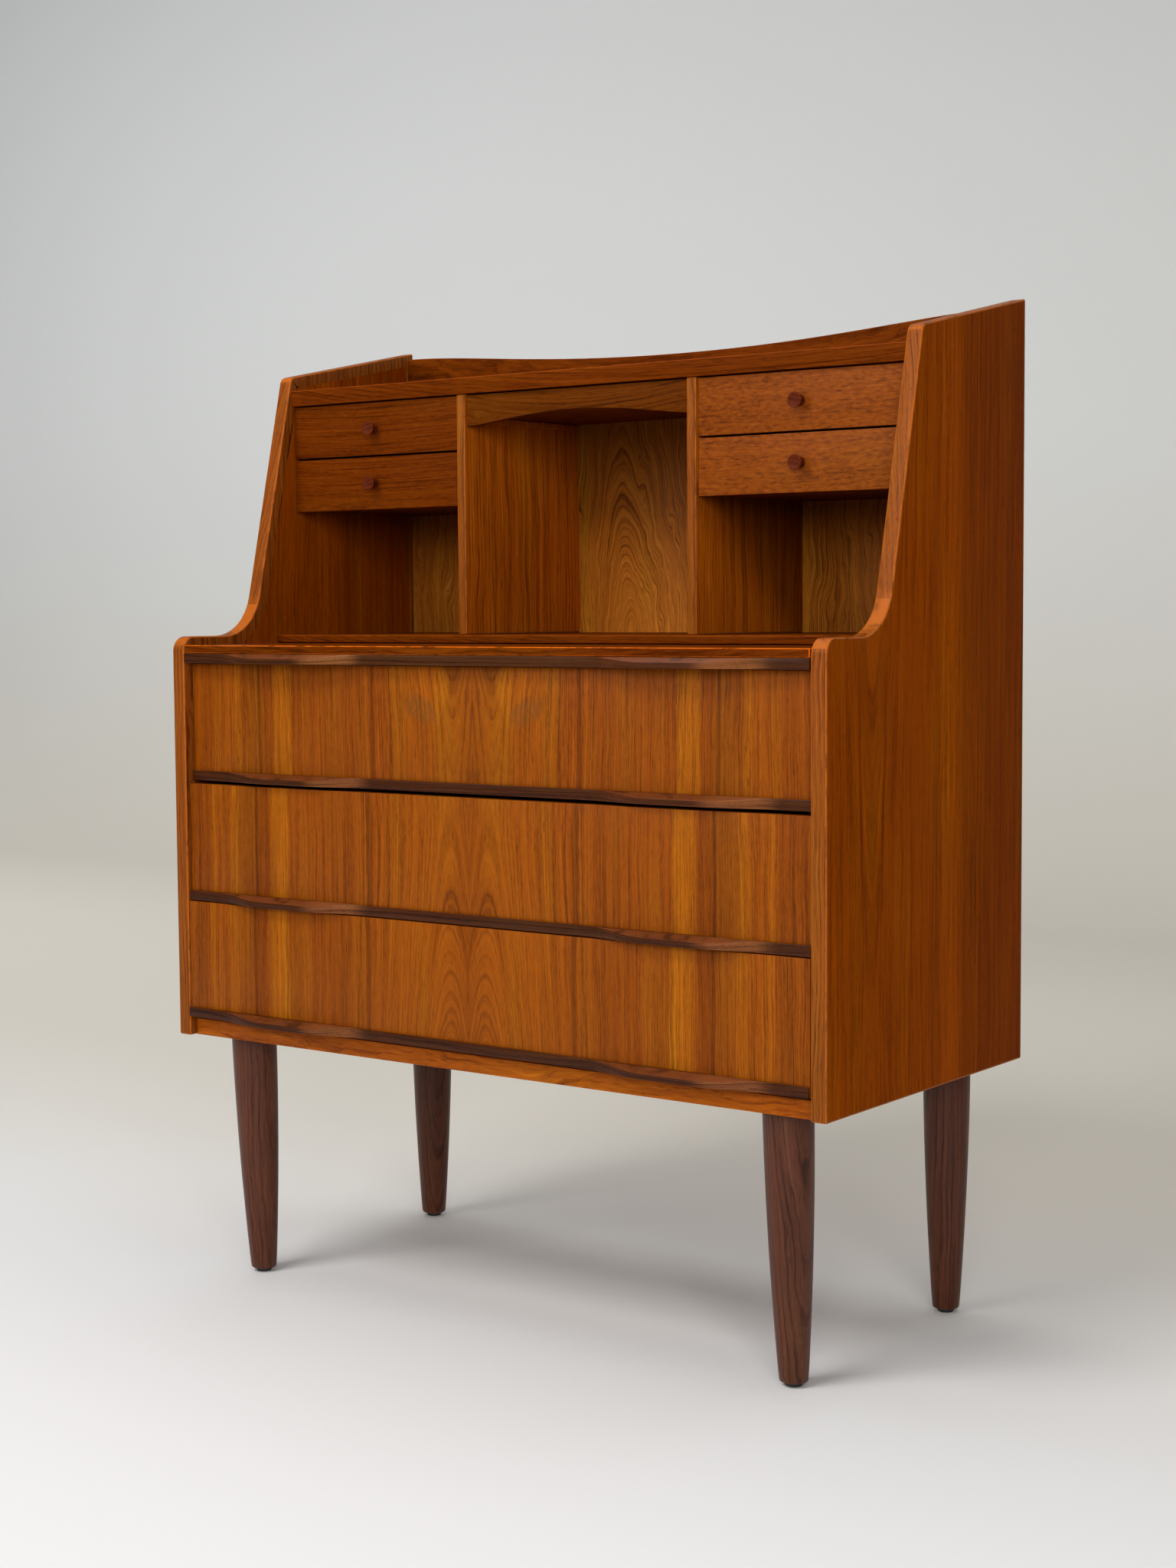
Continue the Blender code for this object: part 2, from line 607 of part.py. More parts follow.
def add_tray(desk, name, low, high, parent):
    """An open box: four walls and a bottom from one set of sizes."""
    body = desk.box(name, low, high, desk.box_wood, parent)
    hollow_low = (low[0] + TRAY_WALL, low[1] + TRAY_WALL, low[2] + TRAY_BOTTOM)
    hollow_high = (high[0] - TRAY_WALL, high[1] - TRAY_WALL, high[2] + TRAY_HEIGHT)
    desk.cut_box(body, "hollow", hollow_low, hollow_high)


def add_small_drawers(desk):
    """Two drawers one above the other in each outer bay, each on its own shelf."""
    upper = TOP_BOARD_BOTTOM - SMALL_TOP_REVEAL - SMALL_FRONT_HEIGHT
    lower = upper - SMALL_REVEAL - SMALL_FRONT_HEIGHT
    for side, sign in SIDES:
        bay = sorted((sign * (DIVIDER_OUTER_X + GLUE_GAP), sign * CASE_X))
        for level, bottom in (("lower", lower), ("upper", upper)):
            shelf_top = bottom + SHELF_TOP_LIFT
            low = (bay[0], SMALL_FRONT_BACK + TRAY_PLAY, bottom + SHELF_LIFT)
            desk.box(f"shelf_{side}_{level}", low, (bay[1], BOARD_BACK, shelf_top), desk.back_teak)
            add_small_drawer(desk, f"small_drawer_{side}_{level}", bay, bottom, shelf_top)


def add_small_drawer(desk, name, bay, bottom, shelf_top):
    left = bay[0] + SMALL_SIDE_REVEAL
    right = bay[1] - SMALL_SIDE_REVEAL
    middle = (left + right) / 2
    top = bottom + SMALL_FRONT_HEIGHT
    group = desk.group(name, (middle, SMALL_FACE, (bottom + top) / 2))
    front_low = (left, SMALL_FACE, bottom)
    desk.box(f"{name}_front", front_low, (right, SMALL_FRONT_BACK, top), desk.front_teak, group)
    tray_bottom = shelf_top + TRAY_PLAY
    tray_low = (bay[0] + TRAY_SIDE_GAP, SMALL_FRONT_BACK + GLUE_GAP, tray_bottom)
    tray_high = (bay[1] - TRAY_SIDE_GAP, BACK_FACE - TRAY_BACK_GAP, tray_bottom + TRAY_HEIGHT)
    add_tray(desk, f"{name}_tray", tray_low, tray_high, group)
    foot = (middle, SMALL_FACE - GLUE_GAP, (bottom + top) / 2)
    knob = desk.add(f"{name}_knob", knob_mesh(), desk.handle_wood, foot, group)
    knob.rotation_euler = (math.pi / 2, 0, 0)


def arch_outline(half, low, high):
    """(x, z) points of the centre front: straight above, with a shallow arch cut in its lower edge."""
    arch = []
    for step in range(ARCH_STEPS + 1):
        share = 2 * step / ARCH_STEPS - 1
        lift = ARCH_RISE * (1 - share * share) ** ARCH_FULLNESS
        arch.append((half * share, low + lift))
    return [(-half, high), *arch, (half, high)]


def add_centre_drawer(desk):
    half = DIVIDER_INNER_X - SMALL_SIDE_REVEAL
    low = TOP_BOARD_BOTTOM - ARCH_FRONT_DROP - SMALL_TOP_REVEAL
    high = TOP_BOARD_BOTTOM - SMALL_TOP_REVEAL
    group = desk.group("centre_drawer", (0, SMALL_FACE, high))
    outline = arch_outline(half, low, high)
    curve = flat_outline("centre_drawer_front", outline, SMALL_FRONT_THICKNESS)
    middle = (0, (SMALL_FACE + SMALL_FRONT_BACK) / 2, 0)
    front = desk.add("centre_drawer_front", curve, desk.front_teak, middle, group)
    front.rotation_euler = (math.pi / 2, 0, 0)
    tray_x = DIVIDER_INNER_X - TRAY_SIDE_GAP
    tray_bottom = CENTRE_RUNNER_TOP + TRAY_PLAY
    tray_back = BACK_FACE - CENTRE_RUNNER_BACK_GAP
    tray_low = (-tray_x, SMALL_FRONT_BACK + GLUE_GAP, tray_bottom)
    tray_high = (tray_x, tray_back, tray_bottom + CENTRE_TRAY_HEIGHT)
    add_tray(desk, "centre_drawer_tray", tray_low, tray_high, group)
    for side, sign in SIDES:
        outer = DIVIDER_INNER_X - GLUE_GAP
        near = sorted((sign * (outer - CENTRE_RUNNER_WIDTH), sign * outer))
        runner_bottom = CENTRE_RUNNER_TOP - CENTRE_RUNNER_HEIGHT
        runner_low = (near[0], SMALL_FRONT_BACK + TRAY_PLAY, runner_bottom)
        runner_high = (near[1], tray_back, CENTRE_RUNNER_TOP)
        desk.box(f"centre_runner_{side}", runner_low, runner_high, desk.box_wood)


def main():
    clear_scene()
    desk = Desk()
    add_side_panels(desk)
    add_case(desk)
    add_legs(desk)
    for name, bottom, setback in DRAWERS:
        add_large_drawer(desk, name, bottom, setback)
    add_leaf(desk)
    add_gallery(desk)
    add_small_drawers(desk)
    add_centre_drawer(desk)


main()
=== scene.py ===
import json
import math
from dataclasses import dataclass

import bpy
from mathutils import Matrix, Vector

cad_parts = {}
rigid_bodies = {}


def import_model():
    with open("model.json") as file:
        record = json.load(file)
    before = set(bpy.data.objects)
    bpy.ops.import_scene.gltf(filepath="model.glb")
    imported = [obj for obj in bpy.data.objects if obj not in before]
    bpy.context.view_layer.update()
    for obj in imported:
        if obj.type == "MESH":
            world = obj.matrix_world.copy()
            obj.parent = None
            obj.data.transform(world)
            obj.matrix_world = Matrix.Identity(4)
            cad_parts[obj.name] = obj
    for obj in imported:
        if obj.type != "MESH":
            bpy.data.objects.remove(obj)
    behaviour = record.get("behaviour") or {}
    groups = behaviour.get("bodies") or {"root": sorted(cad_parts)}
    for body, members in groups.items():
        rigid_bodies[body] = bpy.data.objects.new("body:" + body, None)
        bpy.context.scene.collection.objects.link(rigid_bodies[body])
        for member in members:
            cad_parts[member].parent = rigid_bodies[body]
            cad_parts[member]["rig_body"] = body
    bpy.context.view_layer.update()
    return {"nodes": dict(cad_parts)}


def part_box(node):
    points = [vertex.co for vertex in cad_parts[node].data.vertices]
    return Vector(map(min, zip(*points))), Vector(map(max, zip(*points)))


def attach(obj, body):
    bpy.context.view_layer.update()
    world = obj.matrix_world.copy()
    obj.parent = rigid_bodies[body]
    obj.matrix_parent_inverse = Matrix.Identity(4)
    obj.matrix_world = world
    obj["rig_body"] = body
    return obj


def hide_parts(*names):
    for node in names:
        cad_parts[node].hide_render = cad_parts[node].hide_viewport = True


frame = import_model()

bl_info = {
    "name": "Secretary desk looks",
    "version": (1, 0, 0),
    "blender": (4, 5, 0),
    "location": "View3D > Sidebar > Desk",
    "description": "Finished pieces, veneers and studio for the teak secretary desk",
    "category": "Add Mesh",
}

NODES = frame["nodes"]
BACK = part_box("side_panel_left")[1].y
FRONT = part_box("side_panel_left")[0].y
SIDES = ("left", "right")
LARGE_DRAWERS = ("lower_drawer", "middle_drawer", "upper_drawer")
SMALL_DRAWERS = tuple(
    f"small_drawer_{side}_{level}" for side in SIDES for level in ("lower", "upper")
)
# The shelves' underside, the small drawers' face and the dividers' outer side also place the
# painted shadows in the pigeonholes.
SHELF_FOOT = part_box("shelf_left_lower")[0].z
DRAWERS_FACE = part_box("small_drawer_left_lower_front")[0].y
BAY_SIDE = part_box("divider_right")[0].x + 0.004
HANDLE_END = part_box("upper_drawer_handle")[1].x
# From a handle's end to the middle of its grip's outer slope, and of its inner slope: where the
# grips' painted highlight lies.
OUTER_SLOPE = 0.085
INNER_SLOPE = 0.229
Y, Z = Vector((0, 1, 0)), Vector((0, 0, 1))

# The studio, in metres, degrees and watts, with the lens in millimetres.
CAMERA_PLACE = (1.6098, BACK - 2.3731, 0.7787)
CAMERA_TURN = 36.5219
CAMERA_FALL = 4.1793
CAMERA_LEAN = -0.403
CAMERA_LENS = 55.183
ROOM_CENTRE = (-0.6, -1.3, 0)
ROOM_HALF_WIDTH = 9.0
ROOM_HALF_DEPTH = 5.7
ROOM_HEIGHT = 6
COVE_RADIUS = 1.4
COVE_SEGMENTS = 16
SKY_COLOUR = (0.93, 0.95, 1.0, 1)
SKY_STRENGTH = 0.08
# Each light's name, place, aim, width, height, power and colour.
LIGHTS = (
    ("key_light", (-1.2, -3.2, 1.75), (0, 0, 0.65), 1.6, 1.2, 30, (1.0, 0.96, 0.90)),
    ("high_light", (-0.5, -2.3, 3.2), (0, 0, 0.7), 1.8, 1.2, 62, (1.0, 0.98, 0.95)),
    ("fill_light", (2.5, -3.0, 1.65), (0, 0, 0.5), 1.8, 1.4, 70, (1.0, 0.97, 0.92)),
    ("top_light", (-0.3, 0.3, 3.6), (-0.3, 0.3, 0), 4.0, 3.0, 56, (1.0, 0.99, 0.97)),
    ("wall_light", (-4.8, 0.8, 2.6), (-5.0, 4.4, 0.7), 5.0, 1.6, 76, (0.97, 0.98, 1.0)),
)

# Bands in the veneers: share of the way from their start, and the factors on the colour.
# They start at the line where the fronts' veneer is matched, and at the panels' front edge.
FRONT_BANDS = [
    (0.000, (0.90, 0.91, 0.93)),
    (0.075, (1.05, 1.10, 0.95)),
    (0.230, (1.04, 1.08, 0.92)),
    (0.310, (1.00, 0.96, 1.00)),
    (0.322, (0.56, 0.53, 0.56)),
    (0.334, (1.00, 0.97, 1.03)),
    (0.400, (0.87, 0.87, 1.03)),
    (0.590, (0.95, 0.92, 1.00)),
    (0.597, (1.36, 1.68, 1.26)),
    (0.655, (1.31, 1.57, 1.13)),
    (0.665, (0.87, 0.84, 0.87)),
    (0.704, (0.79, 0.77, 0.79)),
    (0.711, (0.51, 0.48, 0.53)),
    (0.719, (0.82, 0.79, 0.82)),
    (0.770, (0.87, 0.84, 0.84)),
    (0.785, (1.21, 1.39, 1.00)),
    (0.830, (0.97, 0.96, 0.92)),
    (0.862, (1.16, 1.31, 0.97)),
    (0.885, (0.87, 0.84, 0.87)),
    (1.000, (0.84, 0.82, 0.84)),
]

PANEL_BANDS = [
    (0.00, (1.00, 1.00, 1.00)),
    (0.18, (0.96, 0.98, 1.00)),
    (0.34, (1.00, 0.98, 0.96)),
    (0.46, (1.04, 1.02, 0.98)),
    (0.545, (1.00, 1.00, 1.00)),
    (0.560, (1.22, 1.24, 1.10)),
    (0.640, (1.18, 1.16, 1.02)),
    (0.670, (0.86, 0.84, 0.88)),
    (0.735, (0.88, 0.85, 0.88)),
    (0.742, (1.24, 1.20, 1.06)),
    (0.752, (0.84, 0.80, 0.84)),
    (1.00, (0.84, 0.76, 0.76)),
]

# Outlines of the turned pieces.
# A knob's share of its length from the foot, and of its widest radius.
KNOB_PROFILE = (
    (0.0, 0.72), (0.30, 0.69), (0.55, 0.74), (0.74, 0.88), (0.88, 0.985), (0.94, 1.0),
    (0.985, 0.97), (1.0, 0.90), (0.99, 0.84), (0.945, 0.66), (0.915, 0.42), (0.905, 0.16),
)
# A screw's height above the back, and its share of the head's radius: a dome with a recess.
SCREW_PROFILE = (
    (0.0, 0.98), (0.0003, 1.0), (0.0006, 0.86), (0.0008, 0.58), (0.0008, 0.34), (0.0003, 0.20),
)
# The rounded foot of a leg: share of its length, and how far inside the foot's radius.
LEG_FOOT_ROUNDING = ((0.0, 0.0034), (0.0012, 0.0018), (0.004, 0.0006), (0.009, 0.0))
LEG_RINGS = 20
LEG_SIDES = 64
# A glide's height from the floor, and how far inside its radius.
GLIDE_PROFILE = ((0, 0.0012), (0.0004, 0.0004), (0.001, 0.0), (0.0030, 0.0))
GLIDE_TOP_INWARD = 0.0004
GLIDE_SIDES = 40
KNOB_SIDES = 48
SCREW_SIDES = 16
SCREW_INSET = 0.009

# The part of a face's normal along an axis that counts as facing that way.
FACING = 0.985
LEVEL = 0.72
ALONG = 0.7
BROAD_FACE = 0.02  # square metres

# Cells per metre of each layer in the wood, across the grain, into the board and along it.
DRIFT_CELLS = (5.0, 5.0, 2.2)
RIPPLE_CELLS = (34.0, 20.0, 13.0)
FIBRE_CELLS = (1300.0, 700.0, 60.0)
CLOUD_CELLS = (9.0, 9.0, 3.5)
CURL_CELLS = (330.0, 330.0, 120.0)
GILT_CELLS = (22.0, 9.0, 2.4)
PORE_CELLS = (900.0, 700.0, 48.0)
EDGE_WEAR_AND_HIGHLIGHT_CELLS = (60.0, 60.0, 60.0)  # the patches of edge wear and painted highlight, along x, y and z
# How much each layer lightens or darkens the wood.
STREAK_WEIGHT = 2.1
FIBRE_WEIGHT = 0.95
CLOUD_WEIGHT = 0.55
SPREAD = 0.55  # and how far their sum spreads over the wood's colours
LEAST_DEPTH = 0.006  # the tree's middle comes no nearer to a veneer's face
GILDING = (1.10, 1.38, 1.05)  # factors on the colour in the golden patches


def tone(red, green, blue):
    """A linear colour from screen values between 0 and 255."""
    return tuple(
        v / 12.92 if v <= 0.04045 else ((v + 0.055) / 1.055) ** 2.4
        for v in (red / 255, green / 255, blue / 255)
    )


def colour_property(name, description, red, green, blue):
    return bpy.props.FloatVectorProperty(
        name=name,
        description=description,
        default=tone(red, green, blue),
        subtype="COLOR",
        min=0,
        max=1,
    )


def length_property(name, description, default):
    return bpy.props.FloatProperty(
        name=name,
        description=description,
        default=default,
        unit="LENGTH",
        precision=4,
        min=0,
    )


class DeskSizes(bpy.types.PropertyGroup):
    arris: length_property("Arris", "Rounding of the thin boards' edges", 0.0006)
    panel_arris: length_property("Panel arris", "Rounding of the side panels' edges", 0.0022)
    board_arris: length_property("Board arris", "Rounding of the leaf and top board", 0.0014)
    handle_arris: length_property("Handle arris", "Rounding of the handle strips", 0.0005)
    lipping_depth: length_property("Lipping depth", "Solid wood inside a side panel's edge", 0.012)
    leg_foot_radius: length_property("Leg foot", "Radius of a leg just above its rounding", 0.0148)
    leg_entasis: length_property(
        "Leg entasis", "How far a leg swells past a straight taper", 0.0022
    )
    screw_radius: length_property("Screw head", "Radius of the screws in the back", 0.0032)
    screw_spacing: length_property(
        "Screw spacing", "Distance between the screws in the back", 0.115
    )
    veneer_match: bpy.props.FloatProperty(
        name="Veneer match",
        description="Where the drawers' veneer is book-matched, from the middle",
        default=-0.0025,
        unit="LENGTH",
        precision=4,
    )


class DeskColours(bpy.types.PropertyGroup):
    front_teak: colour_property("Front teak", "Veneer of the drawer fronts", 132, 64, 6)
    panel_teak: colour_property("Panel teak", "Veneer of the side panels", 131, 58, 2)
    board_teak: colour_property("Board teak", "Leaf, ledge and top board", 96, 40, 3)
    divider_teak: colour_property("Divider teak", "Veneer of the dividers", 162, 80, 10)
    left_teak: colour_property("Left drawer teak", "Small drawer fronts on the left", 96, 40, 3)
    right_teak: colour_property(
        "Right drawer teak", "Small drawer fronts on the right", 124, 59, 9
    )
    arch_teak: colour_property("Arch teak", "Front of the hidden centre drawer", 88, 41, 5)
    back_teak: colour_property("Back teak", "Veneer of the back panel", 170, 97, 27)
    lipping: colour_property("Lipping", "Solid edges of panels and dividers", 126, 63, 15)
    handle_wood: colour_property("Handle wood", "Handle strips", 60, 27, 8)
    knob_wood: colour_property("Knob wood", "Turned knobs", 84, 30, 9)
    leg_wood: colour_property("Leg wood", "Turned legs", 80, 42, 26)
    box_wood: colour_property("Box wood", "Drawer boxes and runners", 205, 170, 120)
    glide_nylon: colour_property("Glides", "Glides under the legs", 24, 23, 22)
    screw_steel: colour_property("Screws", "Screws in the back", 168, 150, 110)
    floor: colour_property("Floor", "Studio floor near the desk", 229, 230, 233)
    far_floor: colour_property("Far floor", "Studio floor behind the desk", 222, 217, 206)
    wall: colour_property("Wall", "Studio wall", 227, 229, 229)


def sizes():
    return bpy.context.scene.desk_sizes


def colours():
    return bpy.context.scene.desk_colours


# Finishes


class Shader:
    """A material that is put together one node at a time."""

    def __init__(self, name):
        self.material = bpy.data.materials.new(name)
        self.material.use_nodes = True
        self.tree = self.material.node_tree
        self.tree.nodes.clear()
        self.surface = self.node("ShaderNodeBsdfPrincipled")
        output = self.node("ShaderNodeOutputMaterial")
        self.tree.links.new(self.surface.outputs[0], output.inputs[0])

    def node(self, kind, inputs=(), **settings):
        made = self.tree.nodes.new(kind)
        for key, value in settings.items():
            setattr(made, key, value)
        for key, value in dict(inputs).items():
            self.put(made.inputs[key], value)
        return made

    def put(self, socket, value):
        if isinstance(value, bpy.types.NodeSocket):
            self.tree.links.new(value, socket)
        elif socket.type == "RGBA" and len(value) == 3:
            socket.default_value = (*value, 1)
        else:
            socket.default_value = value

    def math(self, operation, *values, clamp=False):
        made = self.node("ShaderNodeMath", operation=operation, use_clamp=clamp)
        for socket, value in zip(made.inputs, values):
            self.put(socket, value)
        return made.outputs[0]

    def mix(self, share, first, second, kind="MIX"):
        made = self.node("ShaderNodeMix", data_type="RGBA", blend_type=kind)
        for socket, value in zip(made.inputs[:1] + made.inputs[6:8], (share, first, second)):
            self.put(socket, value)
        return made.outputs[2]

    def place(self):
        """The three object coordinates, one socket each."""
        coordinates = self.node("ShaderNodeTexCoord").outputs["Object"]
        return tuple(self.node("ShaderNodeSeparateXYZ", {0: coordinates}).outputs)

    def join(self, x, y, z):
        return self.node("ShaderNodeCombineXYZ", {0: x, 1: y, 2: z}).outputs[0]

    def noise(self, point, frequencies, detail=2.0, roughness=0.5):
        """Noise between 0 and 1 whose cells per metre differ along the three axes."""
        scaled = [
            self.math("MULTIPLY", axis, frequency) for axis, frequency in zip(point, frequencies)
        ]
        made = self.node(
            "ShaderNodeTexNoise",
            {"Vector": self.join(*scaled), "Scale": 1.0, "Detail": detail, "Roughness": roughness},
        )
        return made.outputs[0]

    def ramp(self, value, stops):
        """A colour from (position, colour) stops."""
        made = self.node("ShaderNodeValToRGB", {0: value})
        elements = made.color_ramp.elements
        while len(elements) < len(stops):
            elements.new(1.0)
        for element, (position, colour) in zip(elements, stops):
            element.position = position
            element.color = (*colour, 1)
        return made.outputs[0]

    def step(self, value, low, high):
        """0 below low, 1 above high, smooth between."""
        made = self.node("ShaderNodeMapRange", interpolation_type="SMOOTHSTEP")
        for socket, given in zip(made.inputs, (value, low, high, 0.0, 1.0)):
            self.put(socket, given)
        return made.outputs[0]

    def patch(self, across, along, centre, half_width, half_length, turn=0.0):
        """1 inside a soft oval, 0 outside it."""
        side = self.math("SUBTRACT", across, centre[0])
        rise = self.math("SUBTRACT", along, centre[1])
        cosine, sine = math.cos(turn), math.sin(turn)
        first = self.math("MULTIPLY_ADD", side, cosine, self.math("MULTIPLY", rise, sine))
        second = self.math("MULTIPLY_ADD", rise, cosine, self.math("MULTIPLY", side, -sine))
        first = self.math("POWER", self.math("DIVIDE", first, half_width), 2.0)
        second = self.math("POWER", self.math("DIVIDE", second, half_length), 2.0)
        return self.step(self.math("ADD", first, second), 1.3, 0.15)

    def arris(self):
        """1 on a face that lies between two axes, as a rounded edge does."""
        normal = self.node("ShaderNodeNewGeometry").outputs["True Normal"]
        parts = self.node("ShaderNodeSeparateXYZ", {0: normal}).outputs
        widest = self.math("MAXIMUM", *(self.math("ABSOLUTE", p) for p in parts[:2]))
        widest = self.math("MAXIMUM", widest, self.math("ABSOLUTE", parts[2]))
        return self.step(widest, 0.992, 0.88)

    def finish(self, colour, roughness, height=None, strength=0.2, distance=0.0003):
        self.put(self.surface.inputs["Base Color"], colour)
        self.put(self.surface.inputs["Roughness"], roughness)
        if height is not None:
            bump = self.node(
                "ShaderNodeBump", {"Height": height, "Strength": strength, "Distance": distance}
            )
            self.put(self.surface.inputs["Normal"], bump.outputs[0])
        return self.material


def shade(colour, factor, warmth=0.0):
    """The colour made lighter or darker, and warmer or cooler."""
    red, green, blue = colour
    return (
        min(1.0, red * factor * (1 + warmth)),
        min(1.0, green * factor),
        min(1.0, blue * factor * (1 - warmth)),
    )


@dataclass
class Wood:
    """How one board was cut and finished."""

    along: str  # the axis that the grain follows
    heart: tuple  # the axis across the face, and the place of the tree's middle on it
    depth: float  # from a veneer's face to the tree's middle; in solid wood, minus its place
    sweep: float = 0.0  # how fast that depth shrinks away from sweep_at, which draws the arches
    sweep_at: float = 0.0
    solid: bool = False  # rings run through the board, and not only over its face
    match: float | None = None  # the line where the veneer is mirrored
    bands: list | None = None
    band_start: float = 0.0
    band_width: float = 0.44
    extra: object = None  # a function that adds marks of its own
    wander: float = 0.012
    rings: float = 130.0
    contrast: float = 1.0
    calm: float = 0.0  # how much quieter the figure is near the heart
    growth: float = 190.0  # growth rings per metre
    late: float = 0.5  # darkness of each ring's late wood
    streaks: float = 1.0
    curl: float = 0.0
    gilt: float = 0.6
    pores: float = 0.55
    gloss: float = 0.44
    shine: float = 0.07
    # How much the rounded edges are lightened, and the factor on their colour: wear, and on the
    # leaf and handles mostly a painted highlight.
    edge_wear_and_highlight: float = 0.35
    edge_wear_and_highlight_tone: float = 1.7


def wood(name, base, cut):
    """An oiled veneer or solid wood, with rings, streaks, pores, sheen, and edges lightened by
    wear and a painted highlight.
    """
    s = Shader(name)
    x, y, z = s.place()
    along, across, deep = {"x": (x, y, z), "y": (y, x, z), "z": (z, x, y)}[cut.along]
    if cut.along == "z" and cut.match is None and cut.heart[0] == "y":
        across, deep = y, x
    centre = cut.heart[1]
    if cut.match is not None:
        across = s.math("ABSOLUTE", s.math("SUBTRACT", across, cut.match))
    drift = s.math("SUBTRACT", s.noise((across, deep, along), DRIFT_CELLS, 1.0), 0.5)
    side = s.math("MULTIPLY_ADD", drift, cut.wander * 2, s.math("SUBTRACT", across, centre))
    ripple = s.math("SUBTRACT", s.noise((across, deep, along), RIPPLE_CELLS, 2.0), 0.5)
    side = s.math("MULTIPLY_ADD", ripple, cut.wander * 0.8, side)
    rise = s.math("SUBTRACT", along, cut.sweep_at)
    sink = s.math("MULTIPLY", s.math("MULTIPLY", rise, rise), cut.sweep)
    below = s.math("ADD", deep, cut.depth) if cut.solid else cut.depth
    below = s.math("SUBTRACT", below, sink)
    if not cut.solid:
        below = s.math("MAXIMUM", below, LEAST_DEPTH)
    ring = s.math(
        "SQRT", s.math("ADD", s.math("MULTIPLY", side, side), s.math("MULTIPLY", below, below))
    )
    flow = (ring, deep, along)
    bands = s.noise(flow, (cut.rings, 20.0, 1.6), 5.0, 0.72)
    streaks = s.noise(flow, (cut.rings * 3.1, 90.0, 8.0), 3.0, 0.65)
    fibres = s.noise((side, deep, along), FIBRE_CELLS, 2.0, 0.6)
    clouds = s.noise((side, deep, along), CLOUD_CELLS, 2.0)
    figure = s.math("MULTIPLY", s.math("SUBTRACT", bands, 0.5), 2.0 * cut.contrast)
    lines = s.math("MULTIPLY", s.math("SUBTRACT", streaks, 0.5), STREAK_WEIGHT * cut.streaks)
    if cut.calm:
        near = s.step(s.math("ABSOLUTE", side), 0.075, 0.02)
        figure = s.math("MULTIPLY", figure, s.math("MULTIPLY_ADD", near, -cut.calm, 1.0))
    growth = s.math("MULTIPLY_ADD", bands, 1.4, s.math("MULTIPLY", ring, cut.growth))
    late = s.step(s.math("FRACT", growth), 0.62, 0.98)
    figure = s.math("MULTIPLY_ADD", late, -cut.late, figure)
    value = s.math("ADD", s.math("ADD", figure, lines), 0.5 + cut.late / 4)
    value = s.math("MULTIPLY_ADD", s.math("SUBTRACT", fibres, 0.5), FIBRE_WEIGHT, value)
    value = s.math("MULTIPLY_ADD", s.math("SUBTRACT", clouds, 0.5), CLOUD_WEIGHT, value)
    if cut.curl:
        curls = s.noise((side, deep, along), CURL_CELLS, 3.0, 0.6)
        value = s.math("MULTIPLY_ADD", s.math("SUBTRACT", curls, 0.5), cut.curl, value)
    colour = s.ramp(
        s.math("MULTIPLY_ADD", s.math("SUBTRACT", value, 0.5), SPREAD, 0.5, clamp=True),
        [
            (0.02, shade(base, 0.22, 0.14)),
            (0.30, shade(base, 0.60, 0.07)),
            (0.50, base),
            (0.72, shade(base, 1.34, -0.06)),
            (0.98, shade(base, 1.90, -0.14)),
        ],
    )
    if cut.bands:
        reach = s.math("MULTIPLY_ADD", drift, 0.006, s.math("SUBTRACT", across, cut.band_start))
        reach = s.math("DIVIDE", reach, cut.band_width)
        colour = s.mix(1.0, colour, s.ramp(reach, cut.bands), "MULTIPLY")
    if cut.extra:
        colour = cut.extra(s, colour, across, along, base)
    gilt = s.step(s.noise((side, deep, along), GILT_CELLS, 2.0), 0.46, 0.70)
    colour = s.mix(s.math("MULTIPLY", gilt, cut.gilt), colour,
                   s.mix(1.0, colour, GILDING, "MULTIPLY"))
    pores = s.step(s.noise((side, deep, along), PORE_CELLS, 1.0), 0.62, 0.74)
    sparse = s.step(s.noise(flow, (cut.rings * 1.7, 30.0, 5.0), 1.0), 0.40, 0.62)
    pores = s.math("MULTIPLY", pores, sparse)
    colour = s.mix(s.math("MULTIPLY", pores, cut.pores), colour, shade(base, 0.20))
    # Lighter, patchy rounded edges: wear, with a painted highlight where the factor is high, as on
    # the leaf and handles.
    if cut.edge_wear_and_highlight:
        edge_wear_and_highlight_patches = s.step(s.noise((x, y, z), EDGE_WEAR_AND_HIGHLIGHT_CELLS, 3.0), 0.25, 0.55)
        edge_wear_and_highlight = s.math("MULTIPLY", s.math("MULTIPLY", s.arris(), edge_wear_and_highlight_patches), cut.edge_wear_and_highlight)
        colour = s.mix(edge_wear_and_highlight, colour, shade(base, cut.edge_wear_and_highlight_tone, -0.03))
    dull = s.math("MULTIPLY_ADD", s.math("SUBTRACT", streaks, 0.5), 0.22, cut.gloss)
    dull = s.math("MULTIPLY_ADD", pores, 0.25, dull)
    height = s.math("SUBTRACT", s.math("MULTIPLY", streaks, 0.5), pores)
    height = s.math("MULTIPLY_ADD", fibres, 0.25, height)
    s.surface.inputs["Specular IOR Level"].default_value = cut.shine
    return s.finish(colour, dull, height, 0.22, 0.00025)


